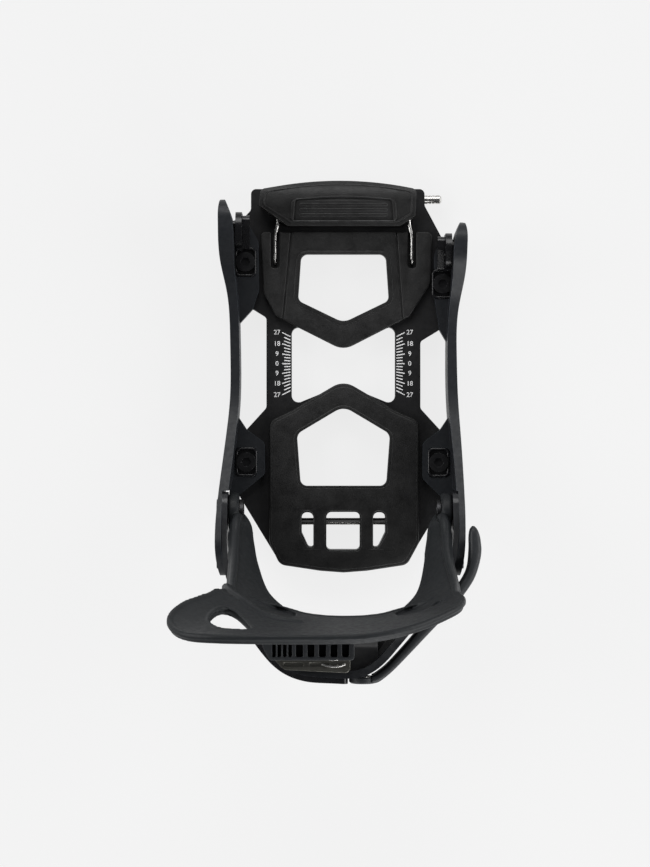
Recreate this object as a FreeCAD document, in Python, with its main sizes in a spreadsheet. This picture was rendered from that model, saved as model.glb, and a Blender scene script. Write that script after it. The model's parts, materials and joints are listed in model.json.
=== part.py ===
import FreeCAD, Part
import math
import os
from FreeCAD import Placement, Rotation, Vector

# A strapless step-in snowboard binding for a right foot, millimetres.
# +X is the outer side of the foot, +Y the toe, +Z up. The origin lies on the board's surface,
# in the middle of the hourglass opening, which is the zero mark of the angle scale.

DIMENSIONS = [
    ("pad_top", 2.0, "top of the base foam, which lies on the board"),
    ("chassis_thick", 8.0, "thickness of the moulded chassis"),
    ("chassis_top", 10.0, "height of the chassis's upper face"),
    ("footbed_thick", 5.0, "thickness of both footbeds"),
    ("foot_thick", 6.0, "thickness of the rails' inward feet"),
    ("slot_half", 29.8, "half width of the hourglass opening"),
    ("waist_half", 44.3, "half width of the chassis at the angle scale"),
    ("toe_rod_r", 2.5, "radius of the toe rod"),
    ("toe_rod_y", 94.8, "place of the toe rod along the foot"),
    ("heel_rod_r", 2.0, "radius of the heel rod"),
    ("heel_rod_y", -90.9, "place of the heel rod along the foot"),
    ("rod_level", 6.0, "height of both rods' axes"),
    ("bolt_r", 3.0, "radius of the M6 rail bolts"),
    ("bolt_head_r", 5.5, "radius of the rail bolts' heads"),
    ("bolt_head_tall", 3.2, "height of the rail bolts' heads"),
    ("washer_r", 6.2, "outer radius of the rail washers"),
    ("washer_thick", 1.6, "thickness of the rail washers"),
    ("pocket_floor", 13.0, "height of the floor of the bolt pockets"),
    ("nut_flat_half", 5.0, "half the width across flats of the rail nuts"),
    ("nut_tall", 4.0, "height of the rail nuts"),
    ("nut_bottom", 2.2, "height of the underside of the rail nuts"),
    ("hoop_arm_thick", 3.0, "thickness of the hoop along the rails"),
    ("hoop_rear_thick", 4.0, "thickness of the hoop behind the heel"),
    ("hoop_arm_left", 67.8, "distance of the hoop's left arm from the middle"),
    ("hoop_arm_right", 63.5, "distance of the hoop's right arm from the middle"),
    ("rail_out_left", 71.2, "distance of the left rail's outer face at the pivot"),
    ("rail_out_right", 66.9, "distance of the right rail's outer face at the pivot"),
    ("pivot_y", -84.0, "place of the highback's hinge line along the foot"),
    ("pivot_level", 45.0, "height of the highback's hinge line"),
    ("pivot_r", 4.0, "radius of the pivot bolts"),
    ("bushing_gap", 0.05, "running clearance on the radius of the pivot bushings"),
    ("bushing_wall", 1.0, "wall of the pivot bushings"),
    ("ear_r", 10.5, "radius of the highback's pivot ears"),
    ("ear_thick", 6.0, "thickness of the highback's pivot ears"),
    ("ear_gap", 0.3, "gap between an ear and the hoop"),
    ("shell_thick", 3.4, "wall of the highback"),
    ("lever_pin_x", 10.0, "sideways place of the release lever's pin"),
    ("lever_pin_level", 76.0, "height of the release lever's pin"),
    ("lever_pin_r", 2.5, "radius of the release lever's pin"),
    ("lever_gap", 0.05, "running clearance on the radius of the lever's bore"),
    ("hub_r", 7.5, "radius of the release lever's hub"),
    ("hub_rear", -176.4, "rear face of the release lever's hub"),
    ("hub_front", -172.7, "front face of the release lever's hub"),
    ("catch_half", 9.0, "half width of the heel catch"),
    ("catch_bottom", 60.0, "height of the underside of the heel catch's channel"),
    ("catch_tall", 10.0, "height of the heel catch's channel"),
    ("catch_gap", 0.1, "sliding clearance round the heel catch"),
    ("channel_rear", -166.5, "rear end of the heel catch's channel"),
    ("pedal_bottom", 10.1, "underside of the gas pedal"),
    ("pedal_top", 25.0, "height of the gas pedal's crest"),
    ("wire_r", 1.0, "radius of the pedal wires"),
    ("wire_x", 39.3, "distance of the pedal wires from the middle"),
    ("wire_level", 12.6, "height of the pedal wires' axes"),
    ("wire_slot_half", 2.5, "half width of the footbed's wire slots"),
]

doc = FreeCAD.newDocument("StepInBinding")
dims = doc.addObject("Spreadsheet::Sheet", "dims")
for row, (alias, value, meaning) in enumerate(DIMENSIONS, start=1):
    dims.set(f"A{row}", alias)
    dims.set(f"B{row}", str(value))
    dims.setAlias(f"B{row}", alias)
    dims.set(f"C{row}", meaning)
doc.recompute()

pieces = []


def dim(alias):
    """A driving dimension, read from the sheet."""
    return float(dims.get(alias))


# ---------------------------------------------------------------- outlines and building blocks


def rounded_outline(corners):
    """Lines and arcs of the closed outline through corners (x, y, corner radius)."""
    starts = []
    ends = []
    arcs = []
    count = len(corners)
    for i, (x, y, radius) in enumerate(corners):
        here = Vector(x, y, 0)
        before = Vector(corners[i - 1][0], corners[i - 1][1], 0)
        after = Vector(corners[(i + 1) % count][0], corners[(i + 1) % count][1], 0)
        to_before = (before - here).normalize()
        to_after = (after - here).normalize()
        half_angle = to_before.getAngle(to_after) / 2
        if radius <= 0:
            starts.append(here)
            ends.append(here)
            arcs.append(None)
            continue
        cut = radius / math.tan(half_angle)
        start = here + to_before * cut
        end = here + to_after * cut
        bisector = (to_before + to_after).normalize()
        middle = here + bisector * (radius / math.sin(half_angle) - radius)
        starts.append(start)
        ends.append(end)
        arcs.append(Part.Arc(start, middle, end))
    geometry = []
    for i in range(count):
        side = Vector(*corners[i][:2], 0) - Vector(*corners[i - 1][:2], 0)
        if side.dot(starts[i] - ends[i - 1]) <= 0:
            raise RuntimeError(f"two corner radii overlap before corner {corners[i]}")
        geometry.append(Part.LineSegment(ends[i - 1], starts[i]))
        if arcs[i]:
            geometry.append(arcs[i])
    return geometry


def circle(x, y, radius):
    """A circle as sketch geometry."""
    return [Part.Circle(Vector(x, y, 0), Vector(0, 0, 1), radius)]


def face_of(geometry):
    """The flat face inside one closed outline in the XY plane."""
    return Part.Face(Part.Wire([piece.toShape() for piece in geometry]))


def plan_prism(geometry, bottom, top):
    """A solid that stands on an outline in the XY plane."""
    face = face_of(geometry)
    face.translate(Vector(0, 0, bottom))
    return face.extrude(Vector(0, 0, top - bottom))


def side_prism(corners, low_x, high_x):
    """A solid whose outline (y, z, radius) is seen from the side."""
    face = face_of(rounded_outline(corners))
    face.Placement = Placement(Vector(low_x, 0, 0), Rotation(Vector(1, 1, 1), 120))
    return face.extrude(Vector(high_x - low_x, 0, 0))


def front_prism(corners, low_y, high_y):
    """A solid whose outline (x, z, radius) is seen from the front."""
    face = face_of(rounded_outline(corners))
    face.Placement = Placement(Vector(0, high_y, 0), Rotation(Vector(1, 0, 0), 90))
    return face.extrude(Vector(0, low_y - high_y, 0))


def spline_through(points):
    """A smooth curve through points (x, y)."""
    curve = Part.BSplineCurve()
    curve.interpolate([Vector(x, y, 0) for x, y in points])
    return curve


def band_face(outer, inner):
    """The face between two curves that run side by side in the XY plane."""
    first = outer.toShape()
    second = inner.toShape()
    start = Part.makeLine(outer.value(outer.FirstParameter), inner.value(inner.FirstParameter))
    end = Part.makeLine(outer.value(outer.LastParameter), inner.value(inner.LastParameter))
    return Part.Face(Part.Wire(Part.__sortEdges__([first, end, second, start])))


def rod_along(axis, start, radius, length):
    """A round bar from start along a unit axis."""
    return Part.makeCylinder(radius, length, start, axis)


def box_between(low, high):
    """A block between two corners."""
    return Part.makeBox(high[0] - low[0], high[1] - low[1], high[2] - low[2], Vector(*low))


def coil(centre, axis, radius, wire, turns, pitch):
    """A round-wire coil spring along an axis."""
    helix = Part.makeHelix(pitch, pitch * turns, radius)
    profile = Part.Wire(Part.makeCircle(wire, Vector(radius, 0, 0), Vector(0, 1, 0)))
    spring = Part.Wire(helix).makePipeShell([profile], True, True)
    spring.Placement = Placement(centre, Rotation(Vector(0, 0, 1), axis))
    return spring


def keep(label, item):
    """Name a finished object as a piece of the binding."""
    item.Label = label
    pieces.append(item)
    return item


def feature(label, shape):
    """A piece whose shape is worked out from the sheet's values."""
    item = doc.addObject("Part::Feature", label)
    item.Shape = shape
    return keep(label, item)


def new_sketch(body, plane, name, outlines):
    """A sketch on one of the body's own origin planes."""
    sketch = body.newObject("Sketcher::SketchObject", name)
    support = next(item for item in body.Origin.OriginFeatures if item.Role == plane)
    sketch.AttachmentSupport = [(support, "")]
    sketch.MapMode = "FlatFace"
    for outline in outlines:
        sketch.addGeometry(outline, False)
    return sketch


def plate_body(label, outlines, bottom, thickness):
    """A body padded upwards from closed outlines; bottom and thickness are expressions."""
    body = doc.addObject("PartDesign::Body", label + "_body")
    sketch = new_sketch(body, "XY_Plane", label + "_outline", outlines)
    sketch.setExpression("AttachmentOffset.Base.z", bottom)
    pad = body.newObject("PartDesign::Pad", label + "_pad")
    pad.Profile = sketch
    pad.setExpression("Length", thickness)
    body.Tip = pad
    doc.recompute()
    return keep(label, body)


def cut_down(body, name, outlines, top, depth):
    """A pocket cut downwards into a body from a level; top and depth are expressions."""
    before = body.Shape.Volume
    sketch = new_sketch(body, "XY_Plane", name + "_outline", outlines)
    sketch.setExpression("AttachmentOffset.Base.z", top)
    pocket = body.newObject("PartDesign::Pocket", name)
    pocket.Profile = sketch
    pocket.setExpression("Length", depth)
    body.Tip = pocket
    doc.recompute()
    if body.Shape.Volume >= before:
        raise RuntimeError(name + " cuts nothing")


def cut_through(body, plane, name, outlines):
    """A pocket cut right through a body, both ways from one of its origin planes."""
    before = body.Shape.Volume
    sketch = new_sketch(body, plane, name + "_outline", outlines)
    pocket = body.newObject("PartDesign::Pocket", name)
    pocket.Profile = sketch
    pocket.SideType = "Symmetric"
    pocket.Length = 400
    body.Tip = pocket
    doc.recompute()
    if body.Shape.Volume >= before:
        raise RuntimeError(name + " cuts nothing")


def cylinder(name, radius, height, place, direction):
    """A Part cylinder whose sizes are expressions."""
    item = doc.addObject("Part::Cylinder", name)
    item.setExpression("Radius", radius)
    item.setExpression("Height", height)
    item.Placement = Placement(place, Rotation(Vector(0, 0, 1), direction))
    return item


def compound(label, members):
    """Several like pieces that share one name."""
    group = doc.addObject("Part::Compound", label)
    group.Links = members
    return keep(label, group)


UP = Vector(0, 0, 1)
FORWARD = Vector(0, 1, 0)
OUTWARD = Vector(1, 0, 0)

# ---------------------------------------------------------------- shared places and outlines

# The four places where the rails are bolted down.
RAIL_BOLTS = [(-56.2, 58.0), (56.8, 45.5), (-55.7, -56.5), (54.5, -56.8)]

# The five-sided windows over the board's channel, and the three slots behind them.
TOE_WINDOW = [(-24.2, 62.6, 4), (24.2, 62.6, 4), (26, 36, 4), (0, 23.4, 9), (-26, 36, 4)]
HEEL_WINDOW = [(-26.7, -40.5, 5), (0, -24.6, 9), (26.7, -40.5, 5), (24.5, -70.2, 4), (-24.5, -70.2, 4)]
SMALL_WINDOWS = [
    [(-24, -85.4, 3), (-17.3, -85.4, 3), (-17.3, -105.3, 1.3), (-20.2, -105.3, 2), (-24, -97, 2)],
    [(-9.8, -85.2, 3), (9.4, -85.2, 3), (9.4, -107, 2.5), (-9.8, -107, 2.5)],
    [(17, -85.4, 3), (24, -85.4, 3), (24, -97, 2), (20, -105.3, 2), (17, -105.3, 1.3)],
]


def grown(corners, amount):
    """An outline's corners moved away from its middle by about the amount."""
    middle_x = sum(corner[0] for corner in corners) / len(corners)
    middle_y = sum(corner[1] for corner in corners) / len(corners)
    moved = []
    for x, y, radius in corners:
        away = Vector(x - middle_x, y - middle_y, 0).normalize() * (amount * 1.35)
        moved.append((x + away.x, y + away.y, radius + amount))
    return moved


SIDES = {
    "left": {"sign": -1, "hoop": dim("hoop_arm_left"), "rail": dim("rail_out_left")},
    "right": {"sign": 1, "hoop": dim("hoop_arm_right"), "rail": dim("rail_out_right")},
}

# ---------------------------------------------------------------- chassis, foam and footbeds


def chassis_outline():
    """The chassis in plan: wide under the rails' feet, narrow at the angle scale."""
    waist = dim("waist_half")
    return [
        (-53.2, 100.5, 3), (-53.2, 88.4, 3), (-60, 81.0, 3), (-63, 76, 3), (-63, 36.5, 4),
        (-51.4, 31.0, 2), (-waist, 26.6, 3), (-waist, -25.4, 3), (-55.4, -37.6, 3),
        (-62.4, -44.0, 4), (-62.4, -72.0, 4), (-37.5, -113.0, 5), (37.5, -113.0, 5),
        (62.4, -72.0, 4), (62.4, -44.0, 4), (55.4, -37.9, 3), (waist, -25.8, 3), (waist, 12.8, 3),
        (54.2, 18.8, 2), (63.2, 25.0, 4), (63.2, 60, 3), (57.6, 70.6, 3), (46.7, 91.0, 3),
        (46.7, 100.5, 3),
    ]


def make_chassis():
    """The moulded frame: open in the middle, with windows, bolt holes and rod bores."""
    outline = chassis_outline()
    half = dim("slot_half")
    hourglass = [
        (-half, 23.0, 4), (0, 10.4, 10), (half, 23.0, 4), (half, -24.2, 4), (0, -12.0, 10),
        (-half, -24.2, 4),
    ]
    outlines = [rounded_outline(outline), rounded_outline(hourglass)]
    outlines += [rounded_outline(grown(TOE_WINDOW, 1.2)), rounded_outline(grown(HEEL_WINDOW, 1.2))]
    outlines += [rounded_outline(window) for window in SMALL_WINDOWS]
    outlines += [circle(x, y, dim("bolt_r")) for x, y in RAIL_BOLTS]
    body = plate_body("base_chassis", outlines, "dims.pad_top", "dims.chassis_thick")
    nut_corner = dim("nut_flat_half") / math.cos(math.pi / 6) + 0.15
    hexagons = []
    for x, y in RAIL_BOLTS:
        corners = []
        for k in range(6):
            angle = math.radians(60 * k + 30)
            corners.append((x + nut_corner * math.cos(angle), y + nut_corner * math.sin(angle), 0))
        hexagons.append(rounded_outline(corners))
    cut_down(body, "nut_pockets", hexagons, "dims.nut_bottom + dims.nut_tall",
             "dims.nut_bottom + dims.nut_tall")
    cut_through(body, "YZ_Plane", "rod_bores", [
        circle(dim("toe_rod_y"), dim("rod_level"), dim("toe_rod_r")),
        circle(dim("heel_rod_y"), dim("rod_level"), dim("heel_rod_r")),
    ])


def make_base_pads():
    """Two thin foam pads between the chassis and the board."""
    toe = [(-50, 97, 4), (-54, 79, 4), (-54, 40, 4), (-31, 22.5, 3), (0, 13, 12), (31, 22.5, 3),
           (54, 29, 4), (54, 68, 4), (43.5, 90, 4), (43.5, 97, 4)]
    heel = [(-54, -46, 4), (-31, -27, 3), (0, -14.5, 12), (31, -27, 3), (54, -46, 4),
            (54, -76, 4), (35, -110, 4), (-35, -110, 4), (-54, -76, 4)]
    toe_window = rounded_outline(grown(TOE_WINDOW, 3))
    heel_window = rounded_outline(grown(HEEL_WINDOW, 3))
    small = rounded_outline([(-26, -83, 3), (26, -83, 3), (26, -100, 4), (18, -107.5, 3),
                             (-18, -107.5, 3), (-26, -100, 4)])
    plate_body("toe_base_pad", [rounded_outline(toe), toe_window], "0", "dims.pad_top")
    plate_body("heel_base_pad", [rounded_outline(heel), heel_window, small], "0", "dims.pad_top")


def make_footbeds():
    """The two footbeds; the toe one has a pair of slots for the pedal wires."""
    half = dim("wire_slot_half")
    wire_x = dim("wire_x")
    slot_end = 54.5
    front = 75.4
    toe = [
        (-48, front, 3), (-wire_x - half, front, 0.8), (-wire_x - half, slot_end, 2.4),
        (-wire_x + half, slot_end, 2.4), (-wire_x + half, front, 0.8),
        (wire_x - half, front, 0.8), (wire_x - half, slot_end, 2.4),
        (wire_x + half, slot_end, 2.4), (wire_x + half, front, 0.8), (51, front, 3),
        (50, 46, 3), (38, 27, 3), (0, 7.6, 12), (-38.6, 27, 3), (-45.8, 39.8, 3),
    ]
    heel = [
        (-42.5, -33, 6), (-30, -27.2, 4), (0, -9.6, 12), (30, -27.2, 4), (43.3, -33, 6),
        (43.3, -103, 6), (36.5, -115.5, 6), (0, -121, 90), (-36.5, -115.5, 6), (-42.5, -103, 6),
    ]
    plate_body("toe_footbed", [rounded_outline(toe), rounded_outline(TOE_WINDOW)],
               "dims.chassis_top", "dims.footbed_thick")
    outlines = [rounded_outline(heel), rounded_outline(HEEL_WINDOW)]
    outlines += [rounded_outline(window) for window in SMALL_WINDOWS]
    plate_body("heel_footbed", outlines, "dims.chassis_top", "dims.footbed_thick")


def make_rods():
    """The steel cross pins; the toe rod's end stands out at the outer side."""
    toe = doc.addObject("Part::Cylinder", "toe_rod_bar")
    toe.setExpression("Radius", "dims.toe_rod_r")
    toe.Height = 108.5
    toe.Placement = Placement(Vector(-52, dim("toe_rod_y"), dim("rod_level")), Rotation(UP, OUTWARD))
    bevel = doc.addObject("Part::Chamfer", "toe_rod_bevel")
    bevel.Base = toe
    bevel.Edges = [(1, 0.8, 0.8), (3, 0.8, 0.8)]
    keep("toe_rod", bevel)
    heel = cylinder("heel_rod_bar", "dims.heel_rod_r", "96",
                    Vector(-48, dim("heel_rod_y"), dim("rod_level")), OUTWARD)
    keep("heel_rod", heel)


# ---------------------------------------------------------------- heel hoop

HOOP_MIDDLE = [(-62.6, -126), (-53.4, -142), (-43.4, -156), (-32.6, -166.8), (-20, -171.4),
               (-6, -172.4), (8, -172.2), (19, -166.8), (29, -156.5), (39.5, -144.5),
               (50.5, -131), (58.6, -118)]


def hoop_curve(offset, thick_change=0.0):
    """The hoop's outer line in plan, moved outwards by an offset; it thickens at the rear."""
    left = dim("hoop_arm_left")
    right = dim("hoop_arm_right")
    points = [(-left, -72), (-left, -84), (-left, -98), (-left + 1.1, -112)] + HOOP_MIDDLE
    points += [(right - 0.9, -104), (right, -94), (right, -84), (right, -72)]
    base = spline_through(points)
    samples = 40
    moved = []
    for k in range(samples + 1):
        at = base.FirstParameter + (base.LastParameter - base.FirstParameter) * k / samples
        place = base.value(at)
        along = base.tangent(at)[0]
        outward = Vector(along.y, -along.x, 0)
        rear_share = max(0.0, min(1.0, (-place.y - 110) / 50))
        shift = offset + thick_change * rear_share
        moved.append((place.x - outward.x * -shift, place.y - outward.y * -shift))
    return spline_through(moved)


def closed_hoop_region(curve):
    """The region that a hoop curve goes round, closed across the front."""
    chord = Part.makeLine(curve.value(curve.LastParameter), curve.value(curve.FirstParameter))
    return Part.Face(Part.Wire([curve.toShape(), chord]))


def hoop_region_solid(offset, thick_change=0.0):
    """All the space inside a hoop curve."""
    return closed_hoop_region(hoop_curve(offset, thick_change)).extrude(Vector(0, 0, 120))


HOOP_SCREWS = [(-100.0, 36.0), (-111.0, 50.0)]
BOLTS_IN_HOOP = [(-12.0, 77.0), (-5.0, 56.0)]
COVER_SCREWS = [(-15.5, 66.0), (-3.8, 66.0)]
HOOP_REAR = -172.4


HOOP_SCREW_R = 2.5
HOOP_NUT_R = 4.6
HOOP_NUT_ROOM_R = 5.4
LATCH_BOLT_R = 1.5
COVER_SCREW_R = 1.2
CIRCLIP_Y = -167.6


def circlip_room():
    """The space round the lever pin's circlip, in the hoop and in the latch housing."""
    room_r = 4.4
    room_long = 1.6
    start = Vector(dim("lever_pin_x"), CIRCLIP_Y - 0.6, dim("lever_pin_level"))
    return rod_along(FORWARD, start, room_r, room_long)


def make_hoop():
    """The aluminium band round the heel, low along the rails and high behind the heel."""
    arm = dim("hoop_arm_thick")
    rear = dim("hoop_rear_thick")
    band = hoop_region_solid(0).cut(hoop_region_solid(-arm, arm - rear))
    profile = [(-73, 37, 7), (-73, 57, 8), (-96, 62, 20), (-128, 70, 40), (-150, 83, 30),
               (-185, 92, 0), (-185, 52, 0), (-150, 46, 40), (-116, 28, 25), (-92, 26, 15)]
    band = band.common(side_prism(profile, -90, 90))
    beyond = 4.0
    through_arm = 14.0
    nut_room_deep = 8.0
    for side in SIDES.values():
        inward = Vector(-side["sign"], 0, 0)
        outside = side["sign"] * (side["hoop"] + beyond)
        start = Vector(outside, dim("pivot_y"), dim("pivot_level"))
        band = band.cut(rod_along(inward, start, dim("pivot_r"), through_arm))
        for y, z in HOOP_SCREWS:
            band = band.cut(rod_along(inward, Vector(outside, y, z), HOOP_SCREW_R, through_arm))
            flat = Vector(side["sign"] * (side["hoop"] - arm - 0.3), y, z)
            band = band.cut(rod_along(inward, flat, HOOP_NUT_ROOM_R, nut_room_deep))
    behind = HOOP_REAR - 5
    through_rear = 15.0
    bolt_head_room_r = 3.1
    bolt_head_room_deep = 7.0
    for x, z in BOLTS_IN_HOOP:
        place = Vector(x, behind, z)
        band = band.cut(rod_along(FORWARD, place, LATCH_BOLT_R, through_rear))
        band = band.cut(rod_along(FORWARD, place, bolt_head_room_r, bolt_head_room_deep))
    for x, z in COVER_SCREWS:
        band = band.cut(rod_along(FORWARD, Vector(x, behind, z), COVER_SCREW_R, 9))
    pin = Vector(dim("lever_pin_x"), behind, dim("lever_pin_level"))
    band = band.cut(rod_along(FORWARD, pin, dim("lever_pin_r"), through_rear))
    feature("heel_hoop", band.cut(circlip_room()))


def make_hoop_fasteners():
    """Flat-headed screws from outside the rails, with thin nuts inside the hoop."""
    head_r = 4.5
    head_tall = 1.3
    socket_r = 1.6
    socket_deep = 0.9
    nut_tall = 2.0
    past_nut = 0.2
    screws = []
    nuts = []
    for side in SIDES.values():
        sign = side["sign"]
        inward = Vector(-sign, 0, 0)
        for y, z in HOOP_SCREWS:
            head = Vector(sign * (side["rail"] - 0.3), y, z)
            seat = Vector(sign * (side["rail"] - RAIL_SCREW_SEAT), y, z)
            nut_face = Vector(sign * (side["hoop"] - dim("hoop_arm_thick") - 0.3), y, z)
            shaft_long = abs(seat.x - nut_face.x) + nut_tall + past_nut
            screw = rod_along(inward, head, head_r, head_tall)
            screw = screw.fuse(rod_along(inward, seat, HOOP_SCREW_R, shaft_long))
            screw = screw.cut(rod_along(inward, head, socket_r, socket_deep))
            screws.append(screw.removeSplitter())
            nut = rod_along(inward, nut_face, HOOP_NUT_R, nut_tall)
            nuts.append(nut.cut(rod_along(inward, nut_face, HOOP_SCREW_R, nut_tall + 1)))
    feature("hoop_screws", Part.makeCompound(screws))
    feature("hoop_nuts", Part.makeCompound(nuts))


# ---------------------------------------------------------------- side rails

# How deep the screws' and the pivots' heads are let into the rails, and the room beyond a rail.
RAIL_SCREW_SEAT = 1.6
PIVOT_SEAT = 1.7
BEYOND_RAIL = 4.0
HOOK_SCREW_R = 2.0

# Each station is a place along the foot with the outer and the inner distance of the wall.
RAIL_STATIONS = {
    "left": [(93, 68.9, 67.6), (87, 70.2, 65.0), (77, 70.4, 62.3), (58, 69.8, 62.0),
             (40, 66.2, 60.4), (14, 64.5, 59.3), (-20, 64.5, 59.3), (-50, 67.4, 62.0),
             (-74, 70.0, 64.6), (-98, 71.4, 66.0), (-110, 70.7, 65.0), (-119, 68.7, 64.0)],
    "right": [(80, 67.4, 66.2), (74, 68.8, 63.6), (64, 68.9, 61.6), (48, 68.0, 61.2),
              (30, 65.0, 59.7), (8, 64.2, 59.0), (-20, 64.9, 59.3), (-50, 66.4, 61.4),
              (-74, 67.0, 62.6), (-98, 66.9, 62.0), (-110, 66.0, 61.0), (-119, 64.3, 59.0)],
}

RAIL_FEET = {
    "left": {
        "front": [(64, 82, 2), (56, 82, 6), (48.8, 70, 5), (48.4, 42, 5), (52, 31, 3), (62, 20, 0)],
        "rear": [(62, -28, 0), (55.4, -38, 3), (45.2, -45.5, 4), (45, -63.5, 4), (60, -75.5, 3),
                 (66, -82, 0)],
    },
    "right": {
        "front": [(64, 71, 2), (56, 71, 6), (51.9, 62, 4), (51.9, 38, 4), (55, 19, 3), (62, 7, 0)],
        "rear": [(62, -28, 0), (55.4, -38, 3), (45.4, -45.5, 4), (45.2, -66, 4), (57.6, -78, 3),
                 (64, -84, 0)],
    },
}


def rail_profile(front):
    """The rail's outline from the side: a tall ear in front, a low waist, a high rear end."""
    return [
        (front, 24, 8), (front - 3, 51, 10), (front - 22, 50, 16), (front - 42, 33, 30),
        (16, 27, 60), (-22, 28, 60), (-54, 42, 60), (-84, 60, 40), (-104, 67, 16),
        (-119, 60, 8), (-119, 38, 12), (-98, 14, 16), (-82, 2, 14), (front - 22, 2, 10),
        (front - 10, 8, 10),
    ]


def rail_bolt_places(sign):
    """The two bolts of the rail on one side."""
    return [(x, y) for x, y in RAIL_BOLTS if x * sign > 0]


def make_rail(name, side):
    """An upright wall with two inward feet that are bolted to the chassis."""
    sign = side["sign"]
    stations = RAIL_STATIONS[name]
    outer = spline_through([(sign * out, y) for y, out, inner in stations])
    inner = spline_through([(sign * inner, y) for y, out, inner in stations])
    wall = band_face(outer, inner).extrude(Vector(0, 0, 90))
    wall = wall.common(side_prism(rail_profile(stations[0][0]), -90, 90))
    wall = wall.cut(hoop_region_solid(0.15))
    base = dim("chassis_top")
    for corners in RAIL_FEET[name].values():
        placed = [(sign * x, y, radius) for x, y, radius in corners]
        foot = plan_prism(rounded_outline(placed), base, base + dim("foot_thick"))
        wall = wall.fuse(foot)
    wall = wall.cut(plan_prism(rounded_outline(chassis_outline()), 0, base))
    through = 20.0
    pocket_half_x = 6.4
    pocket_half_y = 8.6
    pocket_corner = 3.0
    pocket_top = 21.0
    for x, y in rail_bolt_places(sign):
        wall = wall.cut(rod_along(UP, Vector(x, y, base - 1), dim("bolt_r"), through))
        square = [(x + i * pocket_half_x, y + j * pocket_half_y, pocket_corner)
                  for i, j in ((-1, -1), (1, -1), (1, 1), (-1, 1))]
        wall = wall.cut(plan_prism(rounded_outline(square), dim("pocket_floor"), pocket_top))
    inward = Vector(-sign, 0, 0)
    outside = sign * (side["rail"] + BEYOND_RAIL)
    pivot = Vector(outside, dim("pivot_y"), dim("pivot_level"))
    pivot_head_room_r = 7.2
    wall = wall.cut(rod_along(inward, pivot, dim("pivot_r"), through))
    wall = wall.cut(rod_along(inward, pivot, pivot_head_room_r, BEYOND_RAIL + PIVOT_SEAT))
    screw_head_room_r = 4.7
    inside_hoop = sign * (side["hoop"] - dim("hoop_arm_thick"))
    for y, z in HOOP_SCREWS:
        place = Vector(outside, y, z)
        wall = wall.cut(rod_along(inward, place, HOOP_SCREW_R, through))
        wall = wall.cut(rod_along(inward, place, screw_head_room_r, BEYOND_RAIL + RAIL_SCREW_SEAT))
        wall = wall.cut(rod_along(inward, Vector(inside_hoop, y, z), HOOP_NUT_ROOM_R, 8))
    hook_head_room_r = 4.0
    hook_place = Vector(outside, *hook_screw_place(name))
    wall = wall.cut(rod_along(inward, hook_place, HOOK_SCREW_R, 30))
    wall = wall.cut(rod_along(inward, hook_place, hook_head_room_r, hook_screw_seat_depth(name)))
    feature("side_rail_" + name, wall.removeSplitter())


def hook_screw_seat_depth(name):
    """How far the hook screw's head recess reaches in from beyond the rail."""
    ear_outer = {"left": 70.3, "right": 68.8}[name]
    recess = 2.0
    return SIDES[name]["rail"] + BEYOND_RAIL - ear_outer + recess


def hook_front(name):
    """The toe hooks' front end; the outer one lies further back."""
    return {"left": 85.0, "right": 73.0}[name]


def hook_screw_place(name):
    """Place of the toe hook's screw in the rail's ear: along the foot, and height."""
    return hook_front(name) - 7, 34.0


def make_rail_fasteners():
    """M6 bolts with washers in the pockets and captive nuts in the chassis."""
    bolts = []
    washers = []
    nuts = []
    floor = dim("pocket_floor")
    for index, (x, y) in enumerate(RAIL_BOLTS):
        head_bottom = floor + dim("washer_thick")
        head = cylinder(f"bolt_head_{index}", "dims.bolt_head_r", "dims.bolt_head_tall",
                        Vector(x, y, head_bottom), UP)
        shaft = cylinder(f"bolt_shaft_{index}", "dims.bolt_r", "dims.pocket_floor - 1.0",
                         Vector(x, y, 2.6), UP)
        whole = doc.addObject("Part::Fuse", f"bolt_{index}")
        whole.Base = head
        whole.Tool = shaft
        socket = doc.addObject("Part::Prism", f"bolt_socket_{index}")
        socket.Polygon = 6
        socket.Circumradius = 2.9
        socket.Height = 2.2
        socket.Placement = Placement(Vector(x, y, head_bottom + 1.2), Rotation())
        bolt = doc.addObject("Part::Cut", f"bolt_cut_{index}")
        bolt.Base = whole
        bolt.Tool = socket
        bolts.append(bolt)
        disc = cylinder(f"washer_disc_{index}", "dims.washer_r", "dims.washer_thick",
                        Vector(x, y, floor), UP)
        hole = cylinder(f"washer_hole_{index}", "dims.bolt_r", "dims.washer_thick",
                        Vector(x, y, floor), UP)
        washer = doc.addObject("Part::Cut", f"washer_{index}")
        washer.Base = disc
        washer.Tool = hole
        washers.append(washer)
        hexagon = doc.addObject("Part::Prism", f"nut_block_{index}")
        hexagon.Polygon = 6
        hexagon.setExpression("Circumradius", "dims.nut_flat_half / cos(30 deg)")
        hexagon.setExpression("Height", "dims.nut_tall")
        hexagon.Placement = Placement(Vector(x, y, dim("nut_bottom")), Rotation(UP, 30))
        thread = cylinder(f"nut_thread_{index}", "dims.bolt_r", "dims.nut_tall",
                          Vector(x, y, dim("nut_bottom")), UP)
        nut = doc.addObject("Part::Cut", f"nut_{index}")
        nut.Base = hexagon
        nut.Tool = thread
        nuts.append(nut)
    compound("rail_bolts", bolts)
    compound("rail_washers", washers)
    compound("rail_nuts", nuts)


# ---------------------------------------------------------------- toe hooks


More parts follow.
